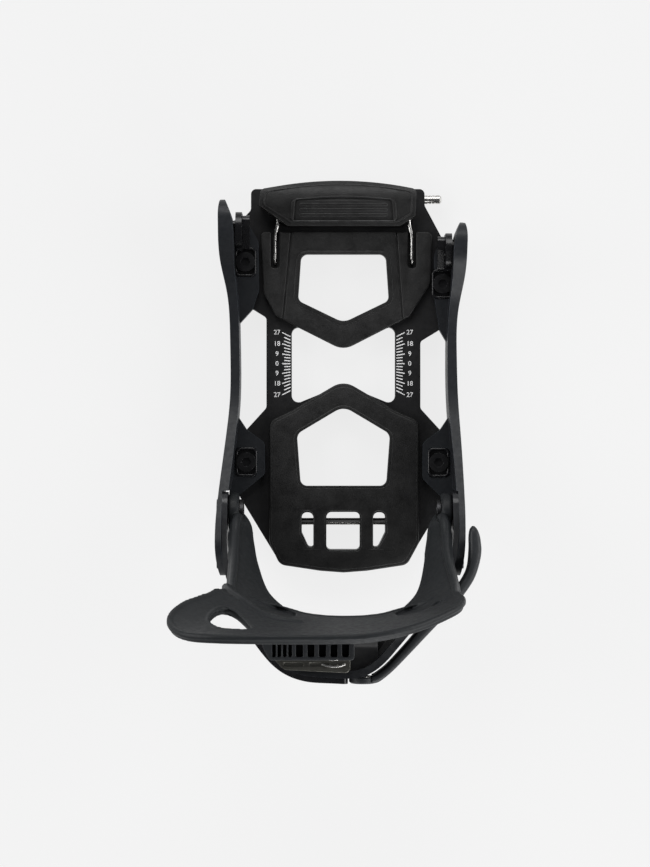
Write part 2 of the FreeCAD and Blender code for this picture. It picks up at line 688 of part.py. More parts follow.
def make_hook(name, side):
    """An upright plate whose mouth opens rearwards for the boot's toe cleat."""
    sign = side["sign"]
    front = hook_front(name)
    plate = [(front - 21, 16.1, 2), (front - 21, 21.5, 1.5), (front - 10, 21.5, 3),
             (front - 10, 28.5, 3), (front - 20, 28.5, 1), (front - 19, 36, 6),
             (front - 7, 41, 8), (front, 36, 6), (front, 16.1, 3)]
    hook_inner = 57.6
    hook_outer = 61.1
    hook = side_prism(plate, *sorted((sign * hook_inner, sign * hook_outer)))
    y, z = hook_screw_place(name)
    start = Vector(sign * (hook_outer + 2), y, z)
    hook = hook.cut(rod_along(Vector(-sign, 0, 0), start, HOOK_SCREW_R, 10))
    feature("toe_hook_" + name, hook)
    cover = [(front - 20, 16.1, 1), (front - 20, 19, 2), (front - 8, 25, 4), (front - 1, 25, 3),
             (front - 1, 16.1, 1)]
    cover_inner = 53.6
    cover_outer = 57.5
    cap = side_prism(cover, *sorted((sign * cover_inner, sign * cover_outer)))
    feature("hook_cover_" + name, cap)


def make_hook_screws():
    """A screw through each rail's ear into its toe hook."""
    head_r = 3.8
    head_tall = 1.6
    shaft_end = 57.8
    screws = []
    for name, side in SIDES.items():
        sign = side["sign"]
        inward = Vector(-sign, 0, 0)
        y, z = hook_screw_place(name)
        seat = side["rail"] + BEYOND_RAIL - hook_screw_seat_depth(name)
        head = rod_along(inward, Vector(sign * (seat + head_tall), y, z), head_r, head_tall)
        shaft = rod_along(inward, Vector(sign * seat, y, z), HOOK_SCREW_R, seat - shaft_end)
        screws.append(head.fuse(shaft).removeSplitter())
    feature("hook_screws", Part.makeCompound(screws))


# ---------------------------------------------------------------- heel latch and release lever


def heel_cup_wings(inside):
    """Two sloping ledges that line the hoop on both sides of the latch."""
    foot_level = 57.0
    ledge_foot = 58.5
    ledge_crest = 84.0
    ledge_width = 13.0
    arm = dim("hoop_arm_thick")
    outlines = []
    for offset, level in ((-arm - ledge_width, ledge_foot), (-arm - 0.6, ledge_crest)):
        face = closed_hoop_region(hoop_curve(offset))
        face.translate(Vector(0, 0, level))
        outlines.append(face.OuterWire)
    bowl = Part.makeLoft(outlines, True)
    well = hoop_region_solid(-arm - ledge_width)
    front = -141.5
    side = [(-180, foot_level, 0), (-180, 82, 0), (-150, 77, 20), (front, 73, 2),
            (front, foot_level, 2)]
    return inside.common(side_prism(side, -70, 70)).cut(bowl).cut(well)


def make_latch():
    """The housing inside the hoop, the sliding heel catch and its two springs."""
    gap = dim("catch_gap")
    half = dim("catch_half")
    bottom = dim("catch_bottom")
    top = bottom + dim("catch_tall")
    rear = dim("channel_rear")
    arm = dim("hoop_arm_thick")
    inside = hoop_region_solid(-arm - 0.1, arm - dim("hoop_rear_thick"))
    housing = side_prism([(-175, 51, 0), (-156, 51, 4), (-151, 56, 3), (-151, 79, 4),
                          (-156, 83, 4), (-175, 83, 0)], -18, 18).common(inside)
    housing = housing.fuse(heel_cup_wings(inside))
    channel = box_between((-half - gap, rear, bottom - gap), (half + gap, -140, top + gap))
    housing = housing.cut(channel)
    behind = -180.0
    for x, z in BOLTS_IN_HOOP:
        housing = housing.cut(rod_along(FORWARD, Vector(x, behind, z), LATCH_BOLT_R, 18.5))
    pin = Vector(dim("lever_pin_x"), behind, dim("lever_pin_level"))
    housing = housing.cut(rod_along(FORWARD, pin, dim("lever_pin_r"), 18))
    feature("latch_housing", housing.cut(circlip_room()))

    nose = -147.5
    tail = -160.0
    catch = side_prism([(tail, bottom, 0.5), (nose, bottom, 1.2), (nose, bottom + 4.5, 1),
                        (nose - 5.5, top, 1), (tail, top, 0.5)], -half, half)
    notch_inner = -5.5
    notch_tall = 3.2
    notch = front_prism([(-half, bottom - 1, 0), (notch_inner, bottom - 1, 0),
                         (notch_inner, bottom + notch_tall, 1), (-half, bottom + notch_tall, 0)],
                        nose - 3, nose + 1)
    catch = catch.cut(notch).cut(notch.mirror(Vector(0, 0, 0), OUTWARD))
    spring_spread = 5.0
    spring_room_r = 2.9
    spring_room_deep = 10.1
    spring_r = 2.1
    spring_wire_r = 0.4
    spring_turns = 6
    spring_pitch = 1.6
    middle_z = (bottom + top) / 2
    springs = []
    for x in (-spring_spread, spring_spread):
        mouth = Vector(x, tail - 1, middle_z)
        catch = catch.cut(rod_along(FORWARD, mouth, spring_room_r, spring_room_deep + 1))
        foot = Vector(x, rear + 0.5, middle_z)
        springs.append(coil(foot, FORWARD, spring_r, spring_wire_r, spring_turns, spring_pitch))
    feature("heel_catch", catch)
    feature("catch_springs", Part.makeCompound(springs))

    bolt_head_r = 3.0
    bolt_head_tall = 1.6
    bolt_seat = HOOP_REAR + 2.0
    bolt_long = 8.5
    bolts = []
    for x, z in BOLTS_IN_HOOP:
        head = rod_along(FORWARD, Vector(x, bolt_seat - bolt_head_tall, z), bolt_head_r,
                         bolt_head_tall)
        shaft = rod_along(FORWARD, Vector(x, bolt_seat, z), LATCH_BOLT_R, bolt_long)
        bolts.append(head.fuse(shaft).removeSplitter())
    feature("latch_housing_bolts", Part.makeCompound(bolts))

    cover_thick = 3.8
    cover = front_prism([(-52, 58, 3), (-20, 51, 20), (1.9, 51, 4), (1.9, 81, 3), (-20, 82, 20),
                         (-52, 77, 3)], -180, -140)
    cover = cover.common(hoop_region_solid(cover_thick)).cut(hoop_region_solid(0.08))
    screw_seat = -175.1
    screw_head_r = 2.2
    screw_head_tall = 1.0
    screw_head_room_r = 2.3
    screw_long = 6.4
    screws = []
    for x, z in COVER_SCREWS:
        outside = Vector(x, screw_seat - 2.9, z)
        cover = cover.cut(rod_along(FORWARD, outside, COVER_SCREW_R, 10))
        cover = cover.cut(rod_along(FORWARD, outside, screw_head_room_r, 2.9))
        head = rod_along(FORWARD, Vector(x, screw_seat - screw_head_tall, z), screw_head_r,
                         screw_head_tall)
        shaft = rod_along(FORWARD, Vector(x, screw_seat, z), COVER_SCREW_R, screw_long)
        screws.append(head.fuse(shaft).removeSplitter())
    feature("latch_cover", cover)
    feature("cover_screws", Part.makeCompound(screws))


def make_lever():
    """The release lever: a round hub on its pin and a long arm that wraps round the hoop."""
    pin_x = dim("lever_pin_x")
    pin_z = dim("lever_pin_level")
    pin_r = dim("lever_pin_r")
    rear = dim("hub_rear")
    front = dim("hub_front")
    # Each arm station is an outer point and an inner point in plan.
    outer = spline_through([(6, rear), (15, -176.2), (21, -173.6), (28, -167.4), (38, -157.4),
                            (49, -146), (60, -135), (68, -125.6), (73.6, -115.4), (75.6, -105),
                            (75, -96.5), (73, -90.6)])
    inner = spline_through([(6, front), (14, -171.9), (23, -165.8), (33, -155.4), (43.6, -143.2),
                            (54.4, -131.8), (62.4, -122.4), (67, -114), (68.2, -104),
                            (68.2, -97), (69, -91.2)])
    arm = band_face(outer, inner).extrude(Vector(0, 0, 120))
    profile = [(-60, pin_z - 15, 0), (-88, pin_z - 15, 3), (-112, pin_z - 16, 30),
               (-150, pin_z - 10, 30), (-178, pin_z - 7, 0), (-178, pin_z + 7, 0),
               (-150, pin_z + 3, 30), (-112, pin_z - 4, 30), (-88, pin_z - 6, 3),
               (-60, pin_z - 6, 0)]
    arm = arm.common(side_prism(profile, 0, 90))
    hub = rod_along(FORWARD, Vector(pin_x, rear, pin_z), dim("hub_r"), front - rear)
    lever = arm.fuse(hub).cut(hoop_region_solid(0.35))
    behind = Vector(pin_x, rear - 1, pin_z)
    head_tall = 1.2
    head_room_r = 4.6
    spring_room_r = 5.4
    spring_room_deep = 1.5
    bore = rod_along(FORWARD, behind, pin_r + dim("lever_gap"), 12)
    head_room = rod_along(FORWARD, behind, head_room_r, 1 + head_tall + 0.1)
    spring_room = rod_along(FORWARD, Vector(pin_x, front - spring_room_deep, pin_z), spring_room_r, 3)
    lever = lever.cut(bore).cut(head_room).cut(spring_room)
    feature("release_lever", lever.removeSplitter())

    head_r = 4.5
    shaft_long = 12.5
    groove_r = 2.0
    groove_wide = 0.8
    head = rod_along(FORWARD, Vector(pin_x, rear, pin_z), head_r, head_tall)
    shaft = rod_along(FORWARD, Vector(pin_x, rear + head_tall, pin_z), pin_r, shaft_long)
    groove_start = Vector(pin_x, CIRCLIP_Y, pin_z)
    groove = rod_along(FORWARD, groove_start, pin_r, groove_wide)
    groove = groove.cut(rod_along(FORWARD, groove_start, groove_r, groove_wide))
    feature("lever_pin", head.fuse(shaft).removeSplitter().cut(groove))
    clip_r = 3.8
    clip_thick = 0.7
    mouth_half = 1.4
    clip = rod_along(FORWARD, Vector(pin_x, CIRCLIP_Y + 0.05, pin_z), clip_r, clip_thick)
    clip = clip.cut(rod_along(FORWARD, Vector(pin_x, CIRCLIP_Y - 0.4, pin_z), groove_r, 2))
    clip = clip.cut(box_between((pin_x - mouth_half, CIRCLIP_Y - 1, pin_z - 6),
                                (pin_x + mouth_half, CIRCLIP_Y + 2, pin_z)))
    feature("lever_circlip", clip)
    spring_r = 4.2
    spring_wire_r = 0.35
    spring_pitch = 0.75
    spring_start = Vector(pin_x, front - 0.9, pin_z)
    feature("lever_spring", coil(spring_start, FORWARD, spring_r, spring_wire_r, 1, spring_pitch))


# ---------------------------------------------------------------- highback

RACK_SCREWS = [(-29.0, 144.0), (-10.0, 144.0)]
RACK_SCREW_R = 1.5
BACK_OF_BOSS = -145.0
BACK_LEVELS = [96, 112, 128, 142, 156, 170, 184, 196, 206]


def back_wing(z):
    """How far forward the shell comes at 60 mm from the middle: left side, right side."""
    fade = max(0.0, min(1.0, (192 - z) / 56))
    return 14.0 * fade ** 1.5, 14.0


def back_face(x, z):
    """The inner face of the highback's plate, as a place along the foot."""
    middle = -136.2 - 3.6 * (z - 96) / 110
    left, right = back_wing(z)
    wing = left if x < 0 else right
    return middle + wing * (abs(x) / 62) ** 2


def back_plate():
    """The upright plate of the highback, before it is trimmed to its outline."""
    thick = dim("shell_thick")
    wires = []
    columns = [-94, -70, -46, -22, 0, 22, 44, 64]
    for z in BACK_LEVELS:
        inner = Part.BSplineCurve()
        inner.interpolate([Vector(x, back_face(x, z), z) for x in columns])
        outer = Part.BSplineCurve()
        outer.interpolate([Vector(x, back_face(x, z) - thick, z) for x in reversed(columns)])
        inner_edge = inner.toShape()
        outer_edge = outer.toShape()
        right_end = Part.makeLine(inner.value(inner.LastParameter), outer.value(outer.FirstParameter))
        left_end = Part.makeLine(outer.value(outer.LastParameter), inner.value(inner.FirstParameter))
        wires.append(Part.Wire([inner_edge, right_end, outer_edge, left_end]))
    plate = Part.makeLoft(wires, True, False)
    trim = [(-64, 104, 6), (-40, 104, 10), (-25, 110, 4), (-21, 116, 3), (20, 116, 3),
            (24, 110, 4), (38, 104, 10), (58, 104, 6), (61, 150, 20), (59.5, 172, 10),
            (40, 190, 20), (20, 198, 30), (-45, 200.5, 30), (-79, 190, 20), (-91, 178, 8),
            (-86, 166, 12), (-75.5, 150, 20), (-64, 130, 10)]
    return plate.common(front_prism(trim, -160, -100))


def faceted_sweep(stations):
    """A solid through four-cornered sections, each side between two sections two triangles."""
    triangles = []
    for near, far in zip(stations, stations[1:]):
        for k in range(4):
            after = (k + 1) % 4
            triangles.append((near[k], near[after], far[k]))
            triangles.append((near[after], far[after], far[k]))
    first = stations[0]
    last = stations[-1]
    triangles += [(first[0], first[2], first[1]), (first[0], first[3], first[2])]
    triangles += [(last[0], last[1], last[2]), (last[0], last[2], last[3])]
    faces = []
    for a, b, c in triangles:
        faces.append(Part.Face(Part.makePolygon([Vector(*a), Vector(*b), Vector(*c), Vector(*a)])))
    shell = Part.Shell(faces)
    shell.sewShape()
    solid = Part.Solid(shell)
    if solid.Volume < 0:
        solid.reverse()
    return solid


# Each arm station: lower inner edge, upper outer edge, and the way through the wall.
ARM_STATIONS = [
    ((60.5, -80, 38), (60.5, -88, 54), (3.6, 0.0, 0.0)),
    ((50.0, -99, 50), (61.4, -96, 65), (2.5, -2.2, -1.5)),
    ((47.5, -112, 64), (60.0, -109, 84), (2.2, -2.7, -1.0)),
    ((41.0, -125, 84), (60.6, -119, 106), (1.8, -3.0, -0.8)),
    ((27.0, -134.8, 106.5), (58.0, -125.6, 126), (0.3, -1.2, -0.2)),
]


def back_arm(side):
    """The curved arm from a pivot ear up to the plate, with the ear's two faces."""
    out = side["hoop"] - dim("hoop_arm_thick") - dim("ear_gap")
    shift = out - dim("hoop_arm_left") + dim("hoop_arm_thick") + dim("ear_gap")
    placed = []
    for k, (low, high, through) in enumerate(ARM_STATIONS):
        narrowing = shift if k < 3 else shift * (4 - k) / 2
        corners = []
        for x, y, z in (low, high):
            corners.append((x + narrowing, y, z))
        for point in (corners[1], corners[0]):
            corners.append(tuple(value + step for value, step in zip(point, through)))
        placed.append([(side["sign"] * x, y, z) for x, y, z in corners])
    return faceted_sweep(placed), out, out - dim("ear_thick")


def make_highback():
    """The asymmetric shell: plate, two arms and two pivot ears, with a window in each wing."""
    shell = back_plate()
    pivot_y = dim("pivot_y")
    pivot_z = dim("pivot_level")
    bushing_out = dim("pivot_r") + dim("bushing_gap") + dim("bushing_wall")
    for side in SIDES.values():
        arm, out, inner = back_arm(side)
        inward = Vector(-side["sign"], 0, 0)
        start = Vector(side["sign"] * out, pivot_y, pivot_z)
        ear = rod_along(inward, start, dim("ear_r"), dim("ear_thick"))
        shell = shell.fuse(arm).fuse(ear)
        nut_room_r = 7.4
        nut_room = rod_along(inward, Vector(side["sign"] * inner, pivot_y, pivot_z), nut_room_r, 12)
        shell = shell.cut(nut_room).cut(rod_along(inward, start, bushing_out, 12))
    rack_boss = box_between((-34, BACK_OF_BOSS, 108), (-5, -138.5, 150))
    shell = shell.fuse(rack_boss)
    left_window = [(-69, 176, 3), (-62, 155, 2), (-58, 156, 2), (-53.5, 166, 6), (-47, 181, 2),
                   (-64, 182.5, 5)]
    right_window = [(34.5, 134, 2), (48, 112, 2), (52.5, 116, 2), (40, 138, 2)]
    shell = shell.cut(front_prism(left_window, -170, -100))
    shell = shell.cut(front_prism(right_window, -170, -100))
    for x, z in RACK_SCREWS:
        shell = shell.cut(rod_along(FORWARD, Vector(x, -150, z), RACK_SCREW_R, 20))
    feature("highback", shell.removeSplitter())


def make_pivots():
    """Pivot bolts through rail, hoop and ear, with bushings in the ears and thin nuts."""
    bolts = []
    bushings = []
    nuts = []
    pivot_r = dim("pivot_r")
    head_r = 7.0
    head_tall = 1.6
    socket_r = 2.5
    socket_deep = 1.2
    nut_r = 7.0
    nut_tall = 2.2
    past_nut = 0.2
    for side in SIDES.values():
        sign = side["sign"]
        inward = Vector(-sign, 0, 0)
        out = side["hoop"] - dim("hoop_arm_thick") - dim("ear_gap")
        nut_face = out - dim("ear_thick") - 0.2

        def place(distance):
            return Vector(sign * distance, dim("pivot_y"), dim("pivot_level"))

        seat = side["rail"] - PIVOT_SEAT
        shaft_long = seat - nut_face + nut_tall + past_nut
        bolt = rod_along(inward, place(seat + head_tall), head_r, head_tall)
        bolt = bolt.fuse(rod_along(inward, place(seat), pivot_r, shaft_long))
        bolt = bolt.cut(rod_along(inward, place(seat + head_tall), socket_r, socket_deep))
        bolts.append(bolt.removeSplitter())
        inside_r = pivot_r + dim("bushing_gap")
        bushing = rod_along(inward, place(out), inside_r + dim("bushing_wall"), dim("ear_thick"))
        bushings.append(bushing.cut(rod_along(inward, place(out + 1), inside_r, 12)))
        nut = rod_along(inward, place(nut_face), nut_r, nut_tall)
        nuts.append(nut.cut(rod_along(inward, place(nut_face + 1), pivot_r, 5)))
    feature("pivot_bolts", Part.makeCompound(bolts))
    feature("pivot_bushings", Part.makeCompound(bushings))
    feature("pivot_nuts", Part.makeCompound(nuts))


# ---------------------------------------------------------------- forward-lean adjuster


def make_lean_adjuster():
    """A toothed rack on the highback, the ribbed block that climbs it and its steel foot."""
    tooth_face = -148.6
    rack = box_between((-33, tooth_face, 92), (-6, BACK_OF_BOSS, 150))
    tooth_pitch = 3.0
    tooth_count = 17
    tooth_deep = 0.9
    first_tooth = 97.0
    for k in range(tooth_count):
        z = first_tooth + tooth_pitch * k
        notch = side_prism([(tooth_face - 0.4, z - 1.0, 0), (tooth_face + tooth_deep, z, 0),
                            (tooth_face - 0.4, z + 1.0, 0)], -32, -7)
        rack = rack.cut(notch)
    guide_slot = box_between((-23.5, -150, 90), (-15.5, -146.2, 138))
    rack = rack.cut(guide_slot)
    head_r = 2.5
    head_tall = 1.5
    head_room_r = 2.7
    seat = -147.0
    screw_long = 7.5
    screws = []
    for x, z in RACK_SCREWS:
        behind = Vector(x, seat - 3, z)
        rack = rack.cut(rod_along(FORWARD, behind, RACK_SCREW_R, 10))
        rack = rack.cut(rod_along(FORWARD, behind, head_room_r, 3))
        head = rod_along(FORWARD, Vector(x, seat - head_tall, z), head_r, head_tall)
        shaft = rod_along(FORWARD, Vector(x, seat, z), RACK_SCREW_R, screw_long)
        screws.append(head.fuse(shaft).removeSplitter())
    feature("lean_rack", rack)
    feature("rack_screws", Part.makeCompound(screws))

    block_bottom = 94.2
    block_top = 112.0
    block_front = -148.9
    block_rear = -160.5
    gap_front = -150.5
    gap_floor = 103.0
    outline = [(-44.5, block_front, 1), (-43.5, -154, 2), (-40, block_rear, 2), (5, block_rear, 2),
               (5, block_front, 1)]
    block = plan_prism(rounded_outline(outline), block_bottom, block_top)
    runner = box_between((-23.3, -149.5, block_bottom), (-15.7, -146.5, block_top))
    block = block.fuse(runner)
    for first, pitch, width, count in ((-38.6, 2.85, 1.9, 4), (-26.0, 6.1, 3.7, 5)):
        for k in range(count):
            x = first + pitch * k
            gap = [(x, -158.7, 0.6), (x + width, -158.7, 0.6), (x + width, gap_front, 0.6),
                   (x, gap_front, 0.6)]
            block = block.cut(plan_prism(rounded_outline(gap), gap_floor, block_top + 1))
    feature("lean_block", block.removeSplitter())

    foot_bottom = 92.5
    foot_top = 94.1
    groove_floor = 93.3
    plate = [(-43, -149.5, 1), (-42, -157, 4), (-33, -167.4, 6), (3, -169.2, 3), (3, -149.5, 1)]
    foot = plan_prism(rounded_outline(plate), foot_bottom, foot_top)
    for x in (-33.0, -19.0):
        groove = [(x, -165.4, 0.9), (x + 11, -165.4, 0.9), (x + 11, -163.6, 0.8),
                  (x, -163.6, 0.8)]
        foot = foot.cut(plan_prism(rounded_outline(groove), groove_floor, foot_top + 1))
    feature("lean_foot", foot)


# ---------------------------------------------------------------- gas pedal


PEDAL_PANEL = [(-30, 81, 1.5), (30, 81, 1.5), (29, 93.2, 3), (0, 96, 200), (-29, 93.2, 3)]


def under_pedal_slope(drop):
    """All the space under the pedal's sloping top, lowered by a drop."""
    top = dim("pedal_top") - drop
    return side_prism([(70, top - 5.5, 0), (92, top - 0.8, 20), (99, top - 1.6, 12),
                       (108, top - 8, 0), (108, 0, 0), (70, 0, 0)], -60, 60)


def make_pedal():
    """The toe ramp, its inset panel, the two bent wires and the clamp that holds them."""
    bottom = dim("pedal_bottom")
    top = dim("pedal_top")
    outline = [(-47.2, 99.2, 3), (-48.2, 89.9, 2), (-31.8, 78.4, 3), (32.3, 78.4, 3),
               (40.9, 84, 2), (41.5, 99.2, 3), (0, 107.6, 190)]
    panel_seat_drop = 2.2
    panel_top_drop = 0.7
    pedal = plan_prism(rounded_outline(outline), bottom, top).common(under_pedal_slope(0))
    seat = plan_prism(rounded_outline(grown(PEDAL_PANEL, 0.1)), bottom, top)
    pedal = pedal.cut(seat.cut(under_pedal_slope(panel_seat_drop)))
    panel = plan_prism(rounded_outline(PEDAL_PANEL), bottom, top)
    panel = panel.common(under_pedal_slope(panel_top_drop)).cut(under_pedal_slope(panel_seat_drop))
    clamp_low = Vector(-43, 85.5, bottom)
    clamp_high = Vector(40, 92, 15.5)
    play = Vector(0.1, 0.1, 0.1)
    pedal = pedal.cut(box_between(tuple(clamp_low - play - UP), tuple(clamp_high + play)))
    for x in (-dim("wire_x"), dim("wire_x")):
        pedal = pedal.cut(rod_along(FORWARD, Vector(x, 70, dim("wire_level")),
                                    dim("wire_r") + 0.3, 20))
    feature("gas_pedal", pedal)
    feature("pedal_panel", panel)
    clamp = box_between(tuple(clamp_low), tuple(clamp_high))
    for name, side in SIDES.items():
        wire_r = dim("wire_r")
        straight_long = 29.5
        bend = Vector(side["sign"] * dim("wire_x"), 60.5, dim("wire_level"))
        tip_way = Vector(0, -3.0, -1.2)
        straight = rod_along(FORWARD, bend, wire_r, straight_long)
        clamp = clamp.cut(straight)
        tip = rod_along(tip_way, bend, wire_r, tip_way.Length)
        joint = Part.makeSphere(wire_r, bend)
        end = Part.makeSphere(wire_r, bend + tip_way)
        wire = straight.fuse([joint, tip, end])
        feature("pedal_wire_" + name, wire.removeSplitter())
    feature("pedal_wire_clamp", clamp)


# ---------------------------------------------------------------- build, test and write

make_chassis()
make_base_pads()
make_footbeds()
make_rods()
make_hoop()
make_hoop_fasteners()
for side_name, side_values in SIDES.items():
    make_rail(side_name, side_values)
    make_hook(side_name, side_values)
make_rail_fasteners()
make_hook_screws()
make_latch()
make_lever()
make_highback()
make_pivots()
make_lean_adjuster()
make_pedal()
doc.recompute()

for item in doc.Objects:
    if "Invalid" in item.State or "Error" in item.State:
        raise RuntimeError(item.Name + " failed: " + str(item.State))
for piece in pieces:
    if piece.Shape.isNull() or not piece.Shape.isValid():
        raise RuntimeError(piece.Label + " has no valid shape")

os.makedirs("parts", exist_ok=True)
for piece in pieces:
    piece.Shape.exportStep(os.path.join("parts", piece.Label + ".step"))
    print(f"{piece.Label:22s} {len(piece.Shape.Solids)} solids {piece.Shape.Volume / 1000:8.3f} cm3")
print(len(pieces), "pieces written")
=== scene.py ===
"""The looks of a strapless step-in snowboard binding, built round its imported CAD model."""

import json
import math

import bmesh
import bpy
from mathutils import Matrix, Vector


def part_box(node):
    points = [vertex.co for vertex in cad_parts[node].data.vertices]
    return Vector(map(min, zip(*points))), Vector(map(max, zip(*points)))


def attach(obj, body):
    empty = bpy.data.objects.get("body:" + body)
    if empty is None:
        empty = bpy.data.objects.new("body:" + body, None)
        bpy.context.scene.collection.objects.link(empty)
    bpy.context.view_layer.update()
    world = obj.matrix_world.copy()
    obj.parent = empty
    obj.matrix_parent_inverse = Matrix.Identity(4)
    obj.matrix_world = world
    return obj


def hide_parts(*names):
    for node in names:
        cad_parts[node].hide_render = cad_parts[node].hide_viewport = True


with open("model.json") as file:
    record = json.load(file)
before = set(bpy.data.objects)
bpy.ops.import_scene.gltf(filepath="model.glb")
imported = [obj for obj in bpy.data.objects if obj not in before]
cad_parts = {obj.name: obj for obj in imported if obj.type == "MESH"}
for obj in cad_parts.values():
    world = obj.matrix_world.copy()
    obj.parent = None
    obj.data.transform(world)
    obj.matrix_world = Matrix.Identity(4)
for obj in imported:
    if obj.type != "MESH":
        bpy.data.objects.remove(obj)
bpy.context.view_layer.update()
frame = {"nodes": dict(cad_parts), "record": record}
nodes = frame["nodes"]
collection = bpy.context.scene.collection

# Sizes below are in millimetres in the CAD frame: +X the outer side of the foot, +Y the toe, +Z up.
MM = 0.001
MM_IN_A_METRE = 1000.0

# ---------------------------------------------------------------- materials


class Shader:
    """A node material with one Principled surface, built up step by step."""

    def __init__(self, name):
        self.material = bpy.data.materials.new(name)
        self.material.use_nodes = True
        self.tree = self.material.node_tree
        self.surface = self.tree.nodes["Principled BSDF"]
        self.place = self.add("ShaderNodeTexCoord").outputs["Object"]

    def add(self, kind, **values):
        """A node with its properties set."""
        node = self.tree.nodes.new(kind)
        for key, value in values.items():
            setattr(node, key, value)
        return node

    def feed(self, socket, value):
        """Link a node's input to another node's output, or set it to a plain value."""
        if isinstance(value, bpy.types.NodeSocket):
            self.tree.links.new(value, socket)
        else:
            socket.default_value = value

    def put(self, node, **inputs):
        """Set or link a node's inputs by name, with _ for a space."""
        for key, value in inputs.items():
            self.feed(node.inputs[key.replace("_", " ")], value)
        return node

    def noise(self, size, detail=4.0):
        """Noise whose blobs are about size millimetres, from 0 to 1."""
        noise = self.add("ShaderNodeTexNoise")
        self.put(noise, Vector=self.place, Scale=MM_IN_A_METRE / size, Detail=detail)
        return noise.outputs["Fac"]

    def ramp(self, value, low, high, to_low=0.0, to_high=1.0):
        """A value mapped from one range to another, clamped."""
        node = self.add("ShaderNodeMapRange")
        self.put(node, Value=value, From_Min=low, From_Max=high, To_Min=to_low, To_Max=to_high)
        return node.outputs[0]

    def times(self, a, b):
        """The product of two values."""
        node = self.add("ShaderNodeMath", operation="MULTIPLY")
        for socket, value in zip(node.inputs, (a, b)):
            self.feed(socket, value)
        return node.outputs[0]

    def mix(self, share, a, b):
        """A colour from a to b."""
        factor_input, first_colour_input, second_colour_input, colour_output = 0, 6, 7, 2
        node = self.add("ShaderNodeMix", data_type="RGBA")
        self.feed(node.inputs[factor_input], share)
        self.feed(node.inputs[first_colour_input], a)
        self.feed(node.inputs[second_colour_input], b)
        return node.outputs[colour_output]

    def edges(self, radius):
        """1 on edges sharper than a radius in millimetres, 0 on flat faces."""
        still_flat = 0.985
        fully_sharp = 0.86
        bevel = self.add("ShaderNodeBevel", samples=4)
        self.put(bevel, Radius=radius * MM)
        normal = self.add("ShaderNodeNewGeometry").outputs["Normal"]
        dot = self.add("ShaderNodeVectorMath", operation="DOT_PRODUCT")
        self.tree.links.new(bevel.outputs[0], dot.inputs[0])
        self.tree.links.new(normal, dot.inputs[1])
        return self.ramp(dot.outputs["Value"], still_flat, fully_sharp)

    def bump(self, height, depth, strength=1.0):
        """A bump of a depth in millimetres on the surface."""
        node = self.add("ShaderNodeBump")
        self.put(node, Height=height, Distance=depth * MM, Strength=strength)
        return node


def shade(value, factor):
    """A grey-ish colour (r, g, b) made lighter or darker."""
    return (*[min(1.0, channel * factor) for channel in value], 1.0)


def moulded(name, colour, rough, grain=0.45, depth=0.05, mottle=0.25, wear_and_highlight=2.2, coat=0.0, shine=0.32,
            swell=0.10):
    """Moulded plastic or rubber: fine grain, slight mottling, and lighter edges that are partly wear and
    partly painted highlight.
    """
    s = Shader(name)
    cloud = s.noise(9.0, 6.0)
    dust = s.noise(1.1, 3.0)
    base = s.mix(s.ramp(cloud, 0.3, 0.7), shade(colour, 1 - mottle), shade(colour, 1 + mottle))
    base = s.mix(s.times(s.ramp(dust, 0.56, 0.78), 0.5), base, shade(colour, 1.9))
    # Edges painted lighter in patches: partly wear, partly a painted highlight along the rims.
    worn_and_highlit_edges = s.times(s.edges(0.45), s.ramp(s.noise(4.0, 5.0), 0.28, 0.62, 0.25, 1.0))
    base = s.mix(worn_and_highlit_edges, base, shade(colour, wear_and_highlight))
    roughness = s.ramp(s.noise(2.5, 4.0), 0.25, 0.75, rough - 0.07, rough + 0.09)
    fine = s.bump(s.noise(grain, 2.0), depth, 0.9)
    soft = s.bump(s.noise(7.0, 3.0), swell, 0.5)
    s.tree.links.new(soft.outputs[0], fine.inputs["Normal"])
    s.put(s.surface, Base_Color=base, Roughness=roughness, Normal=fine.outputs[0],
          Specular_IOR_Level=shine, Coat_Weight=coat, Coat_Roughness=0.15)
    return s.material


def metal(name, colour, rough, wear_and_highlight=1.3):
    """Bare steel: a fine grain, slight stains, and lighter edges that are partly wear and partly painted
    highlight.
    """
    s = Shader(name)
    stain = s.noise(5.0, 5.0)
    grain = s.noise(0.5, 3.0)
    base = s.mix(s.ramp(stain, 0.35, 0.7), shade(colour, 0.8), shade(colour, 1.08))
    # Every edge painted lighter: partly wear, partly a painted highlight.
    base = s.mix(s.edges(0.3), base, shade(colour, wear_and_highlight))
    roughness = s.ramp(grain, 0.3, 0.7, rough - 0.06, rough + 0.12)
    s.put(s.surface, Base_Color=base, Metallic=1.0, Roughness=roughness,
          Normal=s.bump(grain, 0.006, 0.35).outputs[0])
    return s.material


def coated_metal(name, colour, rough):
    """Powder-coated aluminium: a very fine orange peel under a satin sheen."""
    s = Shader(name)
    peel = s.noise(0.8, 2.0)
    base = s.mix(s.ramp(s.noise(12.0, 5.0), 0.3, 0.7), shade(colour, 0.85), shade(colour, 1.2))
    # Edges painted lighter in patches: partly a worn coat, partly a painted highlight standing in for edge
    # reflections.
    base = s.mix(s.times(s.edges(0.5), s.ramp(s.noise(3.0), 0.3, 0.6)), base, shade(colour, 3.2))
    s.put(s.surface, Base_Color=base, Roughness=s.ramp(s.noise(3.0), 0.3, 0.7, rough - 0.05, rough + 0.08),
          Specular_IOR_Level=0.4, Coat_Weight=0.1, Coat_Roughness=0.2,
          Normal=s.bump(peel, 0.03, 0.7).outputs[0])
    return s.material


def paint(name, colour):
    """Pad-printed paint with slightly uneven cover."""
    s = Shader(name)
    base = s.mix(s.ramp(s.noise(0.6, 4.0), 0.3, 0.75), shade(colour, 0.72), shade(colour, 1.0))
    s.put(s.surface, Base_Color=base, Roughness=s.ramp(s.noise(1.0), 0.3, 0.7, 0.45, 0.6),
          Normal=s.bump(s.noise(0.3, 2.0), 0.02, 0.5).outputs[0])
    return s.material


